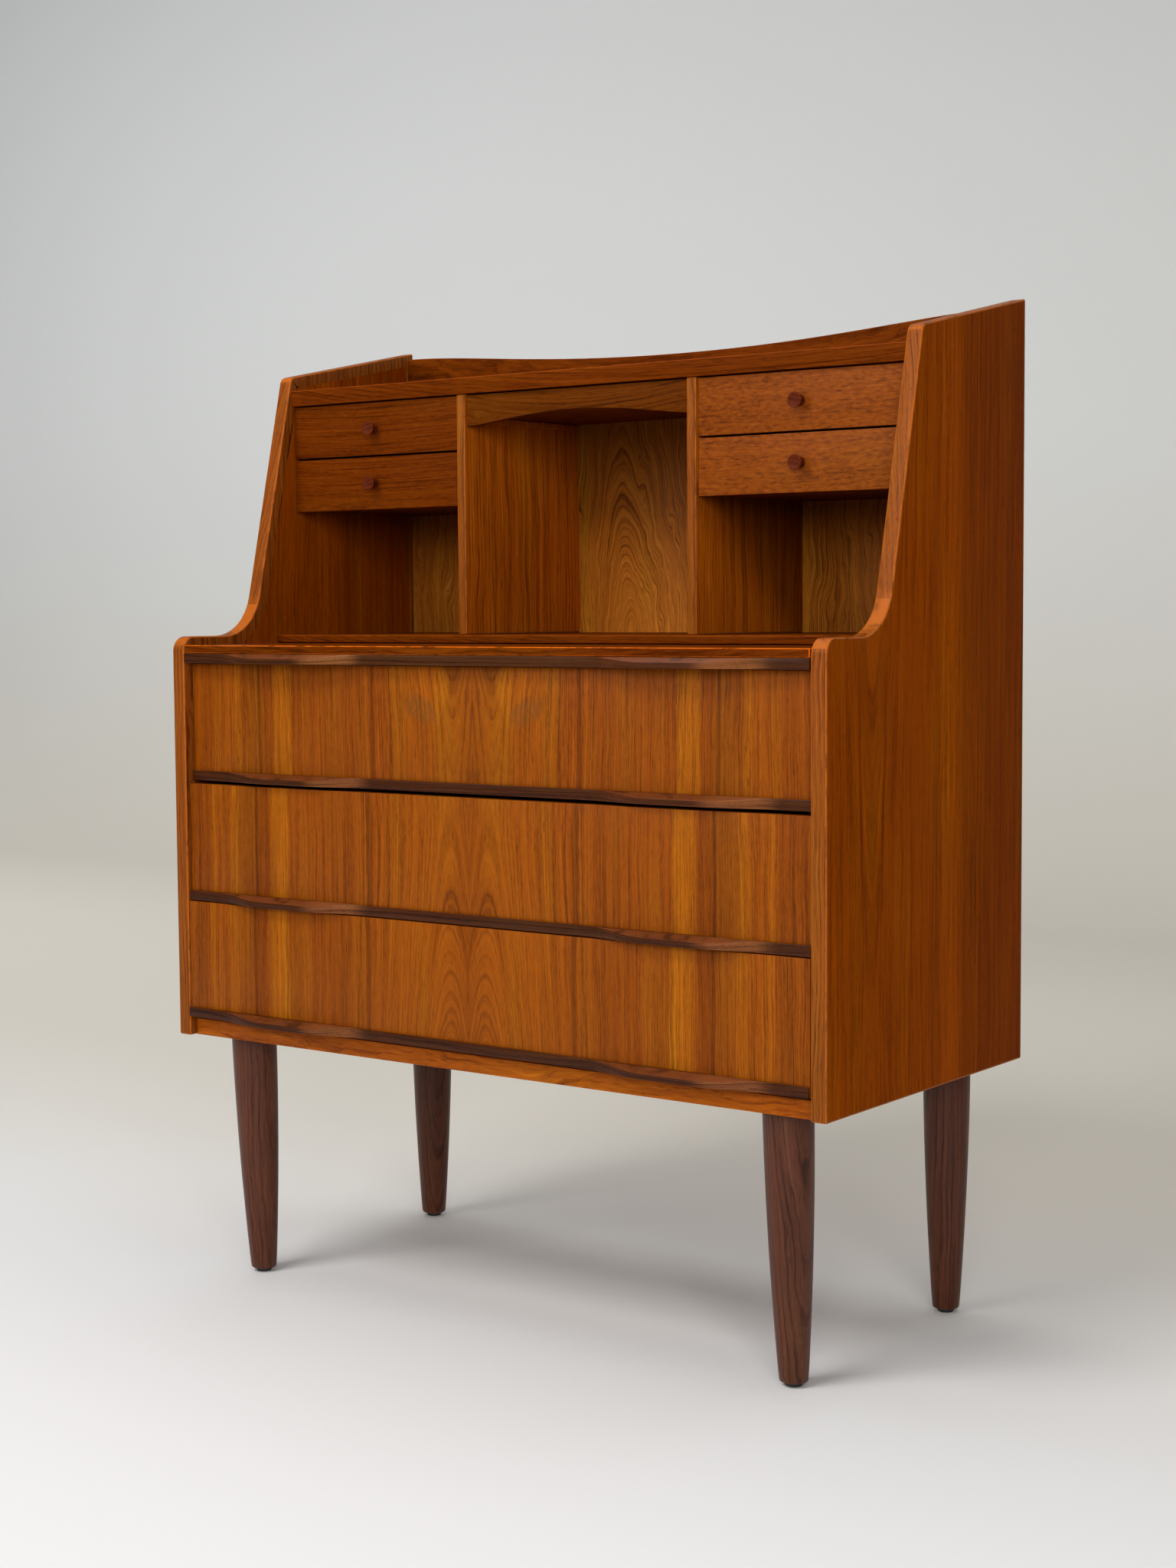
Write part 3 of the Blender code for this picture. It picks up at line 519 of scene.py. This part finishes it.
def drawer_knots(s, colour, across, along, base):
    """The grey figure and the golden flush beside the middle of the upper drawer."""
    warp = s.math("SUBTRACT", s.noise((across, along, 0.0), (90.0, 60.0, 1.0), 2.0), 0.5)
    across = s.math("MULTIPLY_ADD", warp, 0.012, across)
    knot = s.patch(across, along, (0.072, 0.672), 0.026, 0.015, math.radians(24))
    grey = s.step(s.noise((across, along, 0.0), (160.0, 90.0, 1.0), 3.0), 0.25, 0.75)
    knot = s.math("MULTIPLY", knot, s.math("MULTIPLY_ADD", grey, 0.42, 0.2))
    slant = s.math("MULTIPLY_ADD", across, 0.7, along)
    veins = s.step(s.noise((slant, across, 0.0), (520.0, 60.0, 1.0), 1.0), 0.52, 0.66)
    colour = s.mix(s.math("MULTIPLY", s.math("MULTIPLY", veins, knot), 0.9), colour,
                   shade(base, 0.3))
    flush = s.patch(across, along, (0.062, 0.700), 0.032, 0.045)
    flush = s.math("MULTIPLY", flush, 0.6)
    colour = s.mix(flush, colour, s.mix(1.0, colour, (1.35, 1.45, 1.0), "MULTIPLY"))
    return s.mix(knot, colour, tone(104, 66, 26))


def grip_painted_highlight(s, colour, across, along, base):
    """Painted highlight: lightens the slopes of the grips that face right, where light from that
    side falls.
    """
    x = s.place()[0]
    lit = 0.0
    for centre in (HANDLE_END - OUTER_SLOPE, INNER_SLOPE - HANDLE_END):
        aside = s.math("ABSOLUTE", s.math("SUBTRACT", x, centre))
        lit = s.math("ADD", lit, s.step(aside, 0.050, 0.018))
    return s.mix(lit, colour, s.mix(1.0, colour, (3.3, 4.1, 5.2), "MULTIPLY"))


def pigeonhole_painted_shadow(s, colour, across, along, base):
    """Painted shadow of the small drawers: darkens the dividers' outer faces aslant under them."""
    x, y, z = s.place()
    aslant = s.math("MULTIPLY_ADD", s.math("SUBTRACT", y, DRAWERS_FACE), 0.75, z)
    dark = s.step(aslant, SHELF_FOOT - 0.05, SHELF_FOOT + 0.04)
    dark = s.math("MULTIPLY", dark, s.step(s.math("ABSOLUTE", x), BAY_SIDE, BAY_SIDE + 0.004))
    dark = s.math("MULTIPLY", dark, s.step(z, SHELF_FOOT + 0.03, SHELF_FOOT + 0.005))
    return s.mix(s.math("MULTIPLY", dark, 0.62), colour,
                 s.mix(1.0, colour, (0.10, 0.07, 0.06), "MULTIPLY"))


def back_painted_shadow(s, colour, across, along, base):
    """Painted shadow: darkens the back's inner face upwards from just under the small drawers."""
    inside = s.step(s.place()[1], BACK - 0.001, BACK - 0.003)
    dark = s.math("MULTIPLY", s.step(along, SHELF_FOOT - 0.06, SHELF_FOOT + 0.01), inside)
    return s.mix(s.math("MULTIPLY", dark, 0.6), colour,
                 s.mix(1.0, colour, (0.16, 0.12, 0.10), "MULTIPLY"))


def woods():
    """Each wood's colour, and how it was cut."""
    c = colours()
    thin_edge = {"rings": 240.0, "contrast": 0.5, "edge_wear_and_highlight": 0.8, "edge_wear_and_highlight_tone": 2.3, "solid": True}
    box_side = {"rings": 120.0, "contrast": 0.35, "streaks": 0.5, "late": 0.25, "edge_wear_and_highlight": 0.0,
                "gloss": 0.55, "gilt": 0.0}
    return {
        "front_teak": (c.front_teak, Wood(
            "z", ("x", 0.026), 0.045, 0.36, 0.59, match=sizes().veneer_match,
            bands=FRONT_BANDS, extra=drawer_knots, wander=0.009, rings=190.0, calm=0.55,
            contrast=0.85, streaks=0.8, late=0.24, growth=330.0, curl=0.55)),
        "panel_teak": (c.panel_teak, Wood(
            "z", ("y", -0.112), 0.045, 0.09, 0.40, bands=PANEL_BANDS, band_start=FRONT,
            band_width=BACK - FRONT, wander=0.009, rings=150.0, contrast=0.6, streaks=0.8,
            late=0.22, growth=300.0, curl=0.35, shine=0.006)),
        "board_teak": (c.board_teak, Wood(
            "x", ("y", 0.06), -0.60, 0.15, 0.2, rings=190.0, edge_wear_and_highlight=0.7, edge_wear_and_highlight_tone=2.6,
            wander=0.006, shine=0.012, late=0.2, contrast=0.7, solid=True)),
        "rail_teak": (shade(c.front_teak, 1.3), Wood(
            "x", ("y", 0.0), -0.25, 0.03, 0.1, rings=210.0, edge_wear_and_highlight=0.5, late=0.2,
            contrast=0.6, solid=True)),
        # The leaf's rounded edges are much lighter: a painted highlight, with some wear.
        "leaf_teak": (c.board_teak, Wood(
            "x", ("y", 0.10), -0.55, 0.12, -0.1, rings=190.0, edge_wear_and_highlight=1.0, edge_wear_and_highlight_tone=6.0,
            shine=0.012, late=0.25, contrast=0.6, solid=True)),
        "crest_teak": (shade(c.board_teak, 1.15), Wood(
            "x", ("y", 0.0), -0.99, 0.35, 0.05, rings=150.0, edge_wear_and_highlight=0.5, shine=0.012,
            late=0.25, contrast=0.7, solid=True)),
        # The back's inner face carries a painted shadow under the small drawers.
        "back_teak": (c.back_teak, Wood(
            "z", ("x", -0.075), 0.055, 0.55, 1.06, rings=250.0, contrast=1.1, edge_wear_and_highlight=0.0,
            late=0.5, growth=420.0, wander=0.034, curl=0.5, extra=back_painted_shadow)),
        "lipping": (c.lipping, Wood("z", ("x", 0.0), 0.30, **thin_edge)),
        "lipping_level": (c.lipping, Wood("y", ("x", 0.0), 0.30, **thin_edge)),
        "small_left_teak": (c.left_teak, Wood(
            "x", ("y", 0.0), -0.90, 0.2, -0.28, rings=160.0, contrast=0.5, curl=0.6,
            late=0.2, shine=0.012, solid=True)),
        "small_right_teak": (c.right_teak, Wood(
            "x", ("y", 0.0), -0.93, 0.2, 0.28, rings=110.0, contrast=0.35, streaks=0.35,
            curl=1.8, late=0.12, solid=True)),
        "arch_teak": (c.arch_teak, Wood(
            "x", ("y", 0.0), -0.985, 0.6, 0.02, rings=210.0, contrast=0.9, shine=0.012,
            late=0.3, solid=True)),
        # The dividers carry the painted shadow under the small drawers.
        "divider_teak": (c.divider_teak, Wood(
            "z", ("y", 0.3), 0.0, rings=120.0, late=0.3, shine=0.03, extra=pigeonhole_painted_shadow)),
        # Handle strips: a painted highlight on the grips' right-facing slopes, and lighter edges
        # from wear and a painted highlight.
        "handle_wood": (c.handle_wood, Wood(
            "x", ("y", 0.0), 0.08, 0.02, 0.0, rings=210.0, gloss=0.34, shine=0.12, edge_wear_and_highlight=1.0,
            edge_wear_and_highlight_tone=4.2, extra=grip_painted_highlight, solid=True)),
        "knob_wood": (c.knob_wood, Wood(
            "y", ("x", 0.0), 0.4, rings=260.0, contrast=0.6, gloss=0.42, shine=0.06,
            edge_wear_and_highlight=0.5, solid=True)),
        "leg_wood": (c.leg_wood, Wood(
            "z", ("x", 0.2), 0.10, 0.10, 0.1, rings=170.0, contrast=0.8, edge_wear_and_highlight=0.0,
            gloss=0.36, shine=0.2, solid=True)),
        "box_wood": (c.box_wood, Wood("y", ("x", 0.0), 0.20, **box_side)),
        "box_wood_cross": (c.box_wood, Wood("x", ("y", 0.0), 0.20, **box_side)),
    }


_made = {}


def finish(name):
    """The named finish, made on its first use."""
    if name not in _made:
        if name == "glide_nylon":
            _made[name] = moulded(name, colours().glide_nylon)
        elif name == "screw_steel":
            _made[name] = brushed(name, colours().screw_steel)
        else:
            _made[name] = wood(name, *woods()[name])
    return _made[name]


def moulded(name, base):
    """Scuffed nylon."""
    s = Shader(name)
    point = s.place()
    speckle = s.noise(point, (900.0, 900.0, 900.0), 2.0)
    scuffs = s.noise(point, (160.0, 160.0, 700.0), 3.0)
    colour = s.mix(s.step(scuffs, 0.52, 0.75), base, shade(base, 2.4))
    return s.finish(colour, s.math("MULTIPLY_ADD", scuffs, 0.3, 0.35), speckle, 0.15, 0.0001)


def brushed(name, base):
    """Turned steel with dull tarnish."""
    s = Shader(name)
    point = s.place()
    turned = s.noise(point, (600.0, 200.0, 2600.0), 2.0)
    tarnish = s.noise(point, (90.0, 90.0, 90.0), 3.0)
    colour = s.mix(s.step(tarnish, 0.45, 0.7), base, shade(base, 0.45))
    s.surface.inputs["Metallic"].default_value = 1.0
    return s.finish(colour, s.math("MULTIPLY_ADD", tarnish, 0.35, 0.22), turned, 0.1, 0.0001)


def painted(name, near, far, wall):
    """Matt studio paper that changes softly from the floor by the desk to the wall behind it."""
    s = Shader(name)
    x, y, z = s.place()
    cloud = s.math("MULTIPLY", s.noise((x, y, z), (0.8, 0.8, 0.8), 2.0), 0.6)
    fine = s.noise((x, y, z), (240.0, 240.0, 240.0), 2.0)
    colour = s.mix(s.step(s.math("ADD", y, cloud), -0.2, 1.4), near, far)
    colour = s.mix(s.step(s.math("ADD", z, cloud), 0.2, 1.8), colour, wall)
    speckle = s.math("MULTIPLY", s.math("SUBTRACT", fine, 0.5), 0.04)
    colour = s.mix(speckle, colour, shade(near, 0.7))
    s.surface.inputs["Specular IOR Level"].default_value = 0.12
    return s.finish(colour, s.math("MULTIPLY_ADD", fine, 0.1, 0.72), fine, 0.03, 0.0002)


# Modelling


def select_only(obj):
    bpy.ops.object.select_all(action="DESELECT")
    obj.select_set(True)
    bpy.context.view_layer.objects.active = obj


def edit(obj, mode="VERT"):
    """Starts editing obj with nothing selected."""
    select_only(obj)
    bpy.ops.object.mode_set(mode="EDIT")
    bpy.ops.mesh.select_mode(type=mode)
    bpy.ops.mesh.select_all(action="DESELECT")


def leave(obj):
    bpy.ops.object.mode_set(mode="OBJECT")
    return obj


def apply_place(obj):
    select_only(obj)
    bpy.ops.object.transform_apply(location=True, rotation=True, scale=True)
    return obj


def rounded(obj, width, segments=3, angle=30.0, smooth=40.0):
    """Rounds the sharp edges and smooths what lies between them."""
    select_only(obj)
    if width:
        bevel = obj.modifiers.new("Arris", "BEVEL")
        bevel.width = width
        bevel.segments = segments
        bevel.limit_method = "ANGLE"
        bevel.angle_limit = math.radians(angle)
        bevel.use_clamp_overlap = True
        bpy.ops.object.modifier_apply(modifier=bevel.name)
    bpy.ops.object.shade_smooth_by_angle(angle=math.radians(smooth))
    return obj


def block(name, low, high, width, segments=3):
    """A board between two corners, with rounded edges."""
    bpy.ops.object.select_all(action="DESELECT")
    bpy.ops.mesh.primitive_cube_add(size=1, location=(low + high) / 2)
    obj = bpy.context.object
    obj.name = name
    obj.scale = high - low
    apply_place(obj)
    return rounded(obj, width, segments)


def board(node, width, segments=3):
    """A board in the place of a CAD node."""
    low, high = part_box(node)
    return block(f"{node}_piece", low, high, width, segments)


def shaped(node, width, segments=3):
    """A merged copy of a CAD node's shape, with rounded edges."""
    mesh = NODES[node].data.copy()
    mesh.materials.clear()
    obj = bpy.data.objects.new(f"{node}_piece", mesh)
    bpy.context.scene.collection.objects.link(obj)
    select_only(obj)
    bpy.ops.mesh.customdata_custom_splitnormals_clear()
    edit(obj)
    bpy.ops.mesh.select_all(action="SELECT")
    bpy.ops.mesh.remove_doubles(threshold=0.000005)
    bpy.ops.mesh.dissolve_limited(angle_limit=math.radians(0.4))
    bpy.ops.mesh.normals_make_consistent(inside=False)
    leave(obj)
    return rounded(obj, width, segments)


def turned(name, rings, sides, across, smooth=40.0):
    """A disc drawn out through (centre, radius) rings. across turns the disc's plane."""
    bpy.ops.object.select_all(action="DESELECT")
    centre, radius = rings[0]
    bpy.ops.mesh.primitive_circle_add(
        vertices=sides, radius=radius, fill_type="NGON", location=centre, rotation=across
    )
    obj = bpy.context.object
    obj.name = name
    apply_place(obj)
    select_only(obj)
    bpy.ops.object.mode_set(mode="EDIT")
    bpy.ops.mesh.select_mode(type="FACE")
    bpy.ops.mesh.select_all(action="SELECT")
    for next_centre, next_radius in rings[1:]:
        shift = tuple(next_centre - centre)
        bpy.ops.mesh.extrude_region_move(TRANSFORM_OT_translate={"value": shift})
        grow = next_radius / radius
        bpy.ops.transform.resize(value=(grow, grow, grow), center_override=next_centre)
        centre, radius = next_centre, next_radius
    bpy.ops.mesh.select_all(action="SELECT")
    bpy.ops.mesh.normals_make_consistent(inside=False)
    leave(obj)
    return rounded(obj, 0, smooth=smooth)


def paint(obj, *finishes):
    """Puts one finish on the whole piece, and others on the faces that a test picks."""
    first, *others = finishes
    obj.data.materials.clear()
    obj.data.materials.append(finish(first))
    for name, test in others:
        obj.data.materials.append(finish(name))
        index = len(obj.data.materials) - 1
        for face in obj.data.polygons:
            if test(face.normal):
                face.material_index = index
    return obj


def settle(obj, nodes, slot, *finishes):
    """Paints a piece and lets it ride in the place of its CAD nodes."""
    paint(obj, *finishes)
    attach(obj, NODES[nodes[0]]["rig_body"])
    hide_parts(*nodes)
    return obj


def join(first, others):
    select_only(first)
    for other in others:
        other.select_set(True)
    bpy.ops.object.join()
    return first


def is_edge(normal):
    return abs(normal.x) <= FACING


def is_level_edge(normal):
    return is_edge(normal) and abs(normal.z) > LEVEL


def is_across(normal):
    return abs(normal.y) > ALONG


# Operators


class PieceOperator(bpy.types.Operator):
    bl_options = {"REGISTER", "UNDO"}


class DESK_OT_panels(PieceOperator):
    """Side panels and dividers, veneered, with solid rounded lippings"""

    bl_idname = "desk.panels"
    bl_label = "Panels and dividers"

    def execute(self, context):
        for side in SIDES:
            panel = shaped(f"side_panel_{side}", sizes().panel_arris, 4)
            inward = 1 if side == "left" else -1
            self.inset_inner_face(panel, inward)
            settle(panel, [f"side_panel_{side}"], "panel_teak", "panel_teak",
                   ("lipping", is_edge), ("lipping_level", is_level_edge))
            for face in panel.data.polygons:
                if face.normal.x * inward > FACING and face.area < BROAD_FACE:
                    face.material_index = 1
            divider = board(f"divider_{side}", sizes().board_arris, 4)
            settle(divider, [f"divider_{side}"], "panel_teak", "divider_teak",
                   ("lipping", is_edge))
        return {"FINISHED"}

    def inset_inner_face(self, panel, inward):
        """Divides the inner face so that the depth of the solid lipping shows along its edge."""
        edit(panel, "FACE")
        leave(panel)
        for face in panel.data.polygons:
            face.select = face.normal.x * inward > FACING and face.area > BROAD_FACE
        bpy.ops.object.mode_set(mode="EDIT")
        bpy.ops.mesh.inset(thickness=sizes().lipping_depth, depth=0)
        leave(panel)


class DESK_OT_case(PieceOperator):
    """Case bottom, base rail, gallery base, top board, shelves and runners"""

    bl_idname = "desk.case"
    bl_label = "Case boards and runners"

    def execute(self, context):
        for node, width in (
            ("case_bottom", sizes().arris),
            ("gallery_base", sizes().board_arris),
            ("top_board", sizes().board_arris),
        ):
            settle(board(node, width, 4), [node], "panel_teak", "board_teak")
        settle(board("base_rail", sizes().arris, 4), ["base_rail"], "panel_teak", "rail_teak")
        for side in SIDES:
            runners = [f"{drawer}_runner_{side}" for drawer in LARGE_DRAWERS]
            for node in (*runners, f"leaf_guide_{side}"):
                settle(board(node, sizes().arris), [node], "box_wood", "box_wood")
            node = f"centre_runner_{side}"
            settle(board(node, sizes().arris), [node], "box_wood", "divider_teak")
            for level in ("lower", "upper"):
                node = f"shelf_{side}_{level}"
                settle(board(node, sizes().arris), [node], "panel_teak", "board_teak")
        return {"FINISHED"}


class DESK_OT_back(PieceOperator):
    """Back panel, crest rail and the screws that hold the back"""

    bl_idname = "desk.back"
    bl_label = "Back and crest rail"

    def execute(self, context):
        settle(board("back_panel", sizes().arris), ["back_panel"], "back_teak", "back_teak")
        settle(shaped("crest_rail", sizes().board_arris, 4), ["crest_rail"], "back_teak",
               "crest_teak")
        low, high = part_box("back_panel")
        inset = SCREW_INSET
        spots = []
        for start, end in (
            ((low.x + inset, low.z + inset), (high.x - inset, low.z + inset)),
            ((low.x + inset, high.z - inset), (high.x - inset, high.z - inset)),
            ((low.x + inset, low.z + 3 * inset), (low.x + inset, high.z - 3 * inset)),
            ((high.x - inset, low.z + 3 * inset), (high.x - inset, high.z - 3 * inset)),
        ):
            run = math.dist(start, end)
            count = max(2, round(run / sizes().screw_spacing))
            for step in range(count + 1):
                share = step / count
                spots.append(
                    Vector((
                        start[0] + (end[0] - start[0]) * share,
                        high.y,
                        start[1] + (end[1] - start[1]) * share,
                    ))
                )
        radius = sizes().screw_radius
        screws = [
            turned(
                f"screw_{number}",
                [(spot + Y * height, radius * share) for height, share in SCREW_PROFILE],
                SCREW_SIDES,
                (math.pi / 2, 0, 0),
            )
            for number, spot in enumerate(spots)
        ]
        screws[0].name = "back_screws"
        piece = join(screws[0], screws[1:])
        paint(piece, "screw_steel")
        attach(piece, "root")
        return {"FINISHED"}


class DESK_OT_legs(PieceOperator):
    """Four turned legs with their glides"""

    bl_idname = "desk.legs"
    bl_label = "Legs and glides"

    def execute(self, context):
        for end in ("front", "back"):
            for side in SIDES:
                leg, glide = f"leg_{end}_{side}", f"glide_{end}_{side}"
                low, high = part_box(leg)
                foot_low, foot_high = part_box(glide)
                centre = (foot_low + foot_high) / 2
                radius = (high.x - low.x) / 2
                top = Vector((centre.x, low.y + radius, high.z))
                if end == "back":
                    top.y = centre.y
                foot = Vector((centre.x, centre.y, low.z))
                settle(self.leg(f"{leg}_piece", foot, top, radius), [leg], "leg_wood", "leg_wood")
                settle(self.glide(f"{glide}_piece", centre, foot_low, foot_high), [glide],
                       "glide_nylon", "glide_nylon")
        return {"FINISHED"}

    def leg(self, name, foot, top, radius):
        foot_radius = sizes().leg_foot_radius
        rings = []
        for share, inward in LEG_FOOT_ROUNDING:
            rings.append((foot.lerp(top, share), foot_radius - inward))
        taper_start = LEG_FOOT_ROUNDING[-1][0]
        for step in range(1, LEG_RINGS + 1):
            share = taper_start + (1 - taper_start) * step / LEG_RINGS
            swell = sizes().leg_entasis * 4 * share * (1 - share)
            taper = (radius - foot_radius) * share
            rings.append((foot.lerp(top, share), foot_radius + taper + swell))
        return turned(name, rings, LEG_SIDES, (0, 0, 0), 60.0)

    def glide(self, name, centre, low, high):
        radius = (high.x - low.x) / 2
        rings = [
            (Vector((centre.x, centre.y, low.z + rise)), radius - inward)
            for rise, inward in (*GLIDE_PROFILE, (high.z - low.z, GLIDE_TOP_INWARD))
        ]
        return turned(name, rings, GLIDE_SIDES, (0, 0, 0))


class DESK_OT_large_drawers(PieceOperator):
    """Three large drawers with matched fronts, boxes and long handles"""

    bl_idname = "desk.large_drawers"
    bl_label = "Large drawers"

    def execute(self, context):
        for drawer in LARGE_DRAWERS:
            front = board(f"{drawer}_front", sizes().arris, 3)
            settle(front, [f"{drawer}_front"], "front_teak", "front_teak")
            handle = shaped(f"{drawer}_handle", sizes().handle_arris, 3)
            settle(handle, [f"{drawer}_handle"], "handle_wood", "handle_wood")
            box = shaped(f"{drawer}_box", sizes().arris, 2)
            settle(box, [f"{drawer}_box"], "box_wood", "box_wood",
                   ("box_wood_cross", is_across))
            bottom = shaped(f"{drawer}_bottom", 0.0)
            settle(bottom, [f"{drawer}_bottom"], "box_wood", "box_wood_cross")
        return {"FINISHED"}


class DESK_OT_leaf(PieceOperator):
    """The writing leaf with its handle strip"""

    bl_idname = "desk.leaf"
    bl_label = "Writing leaf"

    def execute(self, context):
        settle(shaped("leaf_board", sizes().board_arris, 4), ["leaf_board"], "panel_teak",
               "leaf_teak")
        settle(shaped("leaf_handle", sizes().handle_arris, 3), ["leaf_handle"], "handle_wood",
               "handle_wood")
        return {"FINISHED"}


class DESK_OT_small_drawers(PieceOperator):
    """Four small drawers and the hidden centre drawer, with their trays and knobs"""

    bl_idname = "desk.small_drawers"
    bl_label = "Small and centre drawers"

    def execute(self, context):
        for drawer in SMALL_DRAWERS:
            teak = "small_left_teak" if "left" in drawer else "small_right_teak"
            front = board(f"{drawer}_front", sizes().arris, 3)
            settle(front, [f"{drawer}_front"], "front_teak", teak)
            tray = shaped(f"{drawer}_tray", sizes().arris, 2)
            settle(tray, [f"{drawer}_tray"], "box_wood", "box_wood",
                   ("box_wood_cross", is_across))
            knob = self.knob(f"{drawer}_knob")
            settle(knob, [f"{drawer}_knob"], "handle_wood", "knob_wood")
        front = shaped("centre_drawer_front", sizes().arris, 3)
        settle(front, ["centre_drawer_front"], "front_teak", "arch_teak")
        tray = shaped("centre_drawer_tray", sizes().arris, 2)
        settle(tray, ["centre_drawer_tray"], "box_wood", "board_teak")
        return {"FINISHED"}

    def knob(self, node):
        low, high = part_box(node)
        centre = (low + high) / 2
        foot = Vector((centre.x, high.y, centre.z))
        length = high.y - low.y
        widest = (high.x - low.x) / 2
        rings = [(foot - Y * (length * rise), widest * share) for rise, share in KNOB_PROFILE]
        return turned(f"{node}_piece", rings, KNOB_SIDES, (math.pi / 2, 0, 0), 50.0)


class DESK_OT_stage(PieceOperator):
    """Camera, studio lights and the pale floor with its wall"""

    bl_idname = "desk.stage"
    bl_label = "Stage"

    def execute(self, context):
        self.camera(context)
        self.room(context)
        self.lights(context)
        return {"FINISHED"}

    def camera(self, context):
        data = bpy.data.cameras.new("desk_camera")
        data.sensor_width = 36.0
        data.lens = CAMERA_LENS
        camera = bpy.data.objects.new("desk_camera", data)
        context.scene.collection.objects.link(camera)
        turn, fall, lean = map(math.radians, (CAMERA_TURN, CAMERA_FALL, CAMERA_LEAN))
        ahead = Vector((-math.sin(turn) * math.cos(fall), math.cos(turn) * math.cos(fall),
                        -math.sin(fall)))
        right = ahead.cross(Z).normalized()
        above = right.cross(ahead)
        right, above = (
            right * math.cos(lean) + above * math.sin(lean),
            above * math.cos(lean) - right * math.sin(lean),
        )
        axes = Matrix((right, above, -ahead)).transposed().to_4x4()
        camera.matrix_world = Matrix.Translation(CAMERA_PLACE) @ axes
        context.scene.camera = camera

    def room(self, context):
        bpy.ops.object.select_all(action="DESELECT")
        bpy.ops.mesh.primitive_plane_add(size=2, location=ROOM_CENTRE)
        room = bpy.context.object
        room.name = "studio_room"
        room.scale = (ROOM_HALF_WIDTH, ROOM_HALF_DEPTH, 1)
        apply_place(room)
        edit(room, "EDGE")
        bpy.ops.mesh.select_all(action="SELECT")
        bpy.ops.mesh.region_to_loop()
        bpy.ops.mesh.extrude_edges_move(TRANSFORM_OT_translate={"value": (0, 0, ROOM_HEIGHT)})
        bpy.ops.mesh.select_all(action="SELECT")
        bpy.ops.mesh.normals_make_consistent(inside=True)
        leave(room)
        rounded(room, COVE_RADIUS, COVE_SEGMENTS, 30.0, 60.0)
        c = colours()
        room.data.materials.append(painted("studio_paper", c.floor, c.far_floor, c.wall))

    def lights(self, context):
        world = bpy.data.worlds.new("studio_world")
        world.use_nodes = True
        background = world.node_tree.nodes["Background"]
        background.inputs[0].default_value = SKY_COLOUR
        background.inputs[1].default_value = SKY_STRENGTH
        context.scene.world = world
        for name, place, aim, width, height, power, colour in LIGHTS:
            data = bpy.data.lights.new(name, "AREA")
            data.shape = "RECTANGLE"
            data.size = width
            data.size_y = height
            data.energy = power
            data.color = colour
            light = bpy.data.objects.new(name, data)
            context.scene.collection.objects.link(light)
            light.location = place
            aimed = Vector(aim) - Vector(place)
            light.rotation_euler = aimed.to_track_quat("-Z", "Y").to_euler()
        context.scene.view_settings.view_transform = "Standard"


OPERATORS = (
    DESK_OT_stage,
    DESK_OT_panels,
    DESK_OT_case,
    DESK_OT_back,
    DESK_OT_legs,
    DESK_OT_large_drawers,
    DESK_OT_leaf,
    DESK_OT_small_drawers,
)


class DESK_PT_sidebar(bpy.types.Panel):
    bl_label = "Secretary desk"
    bl_idname = "DESK_PT_sidebar"
    bl_space_type = "VIEW_3D"
    bl_region_type = "UI"
    bl_category = "Desk"

    def draw(self, context):
        for group in (context.scene.desk_sizes, context.scene.desk_colours):
            column = self.layout.column()
            for key in group.bl_rna.properties.keys():
                if key not in ("rna_type", "name"):
                    column.prop(group, key)
        for operator in OPERATORS:
            self.layout.operator(operator.bl_idname)


CLASSES = (DeskSizes, DeskColours, *OPERATORS, DESK_PT_sidebar)


def register():
    for cls in CLASSES:
        bpy.utils.register_class(cls)
    bpy.types.Scene.desk_sizes = bpy.props.PointerProperty(type=DeskSizes)
    bpy.types.Scene.desk_colours = bpy.props.PointerProperty(type=DeskColours)


def unregister():
    del bpy.types.Scene.desk_colours
    del bpy.types.Scene.desk_sizes
    for cls in reversed(CLASSES):
        bpy.utils.unregister_class(cls)


def main():
    register()
    for operator in OPERATORS:
        getattr(bpy.ops.desk, operator.bl_idname.split(".")[1])()
    bpy.ops.object.select_all(action="DESELECT")


if __name__ == "__main__":
    main()
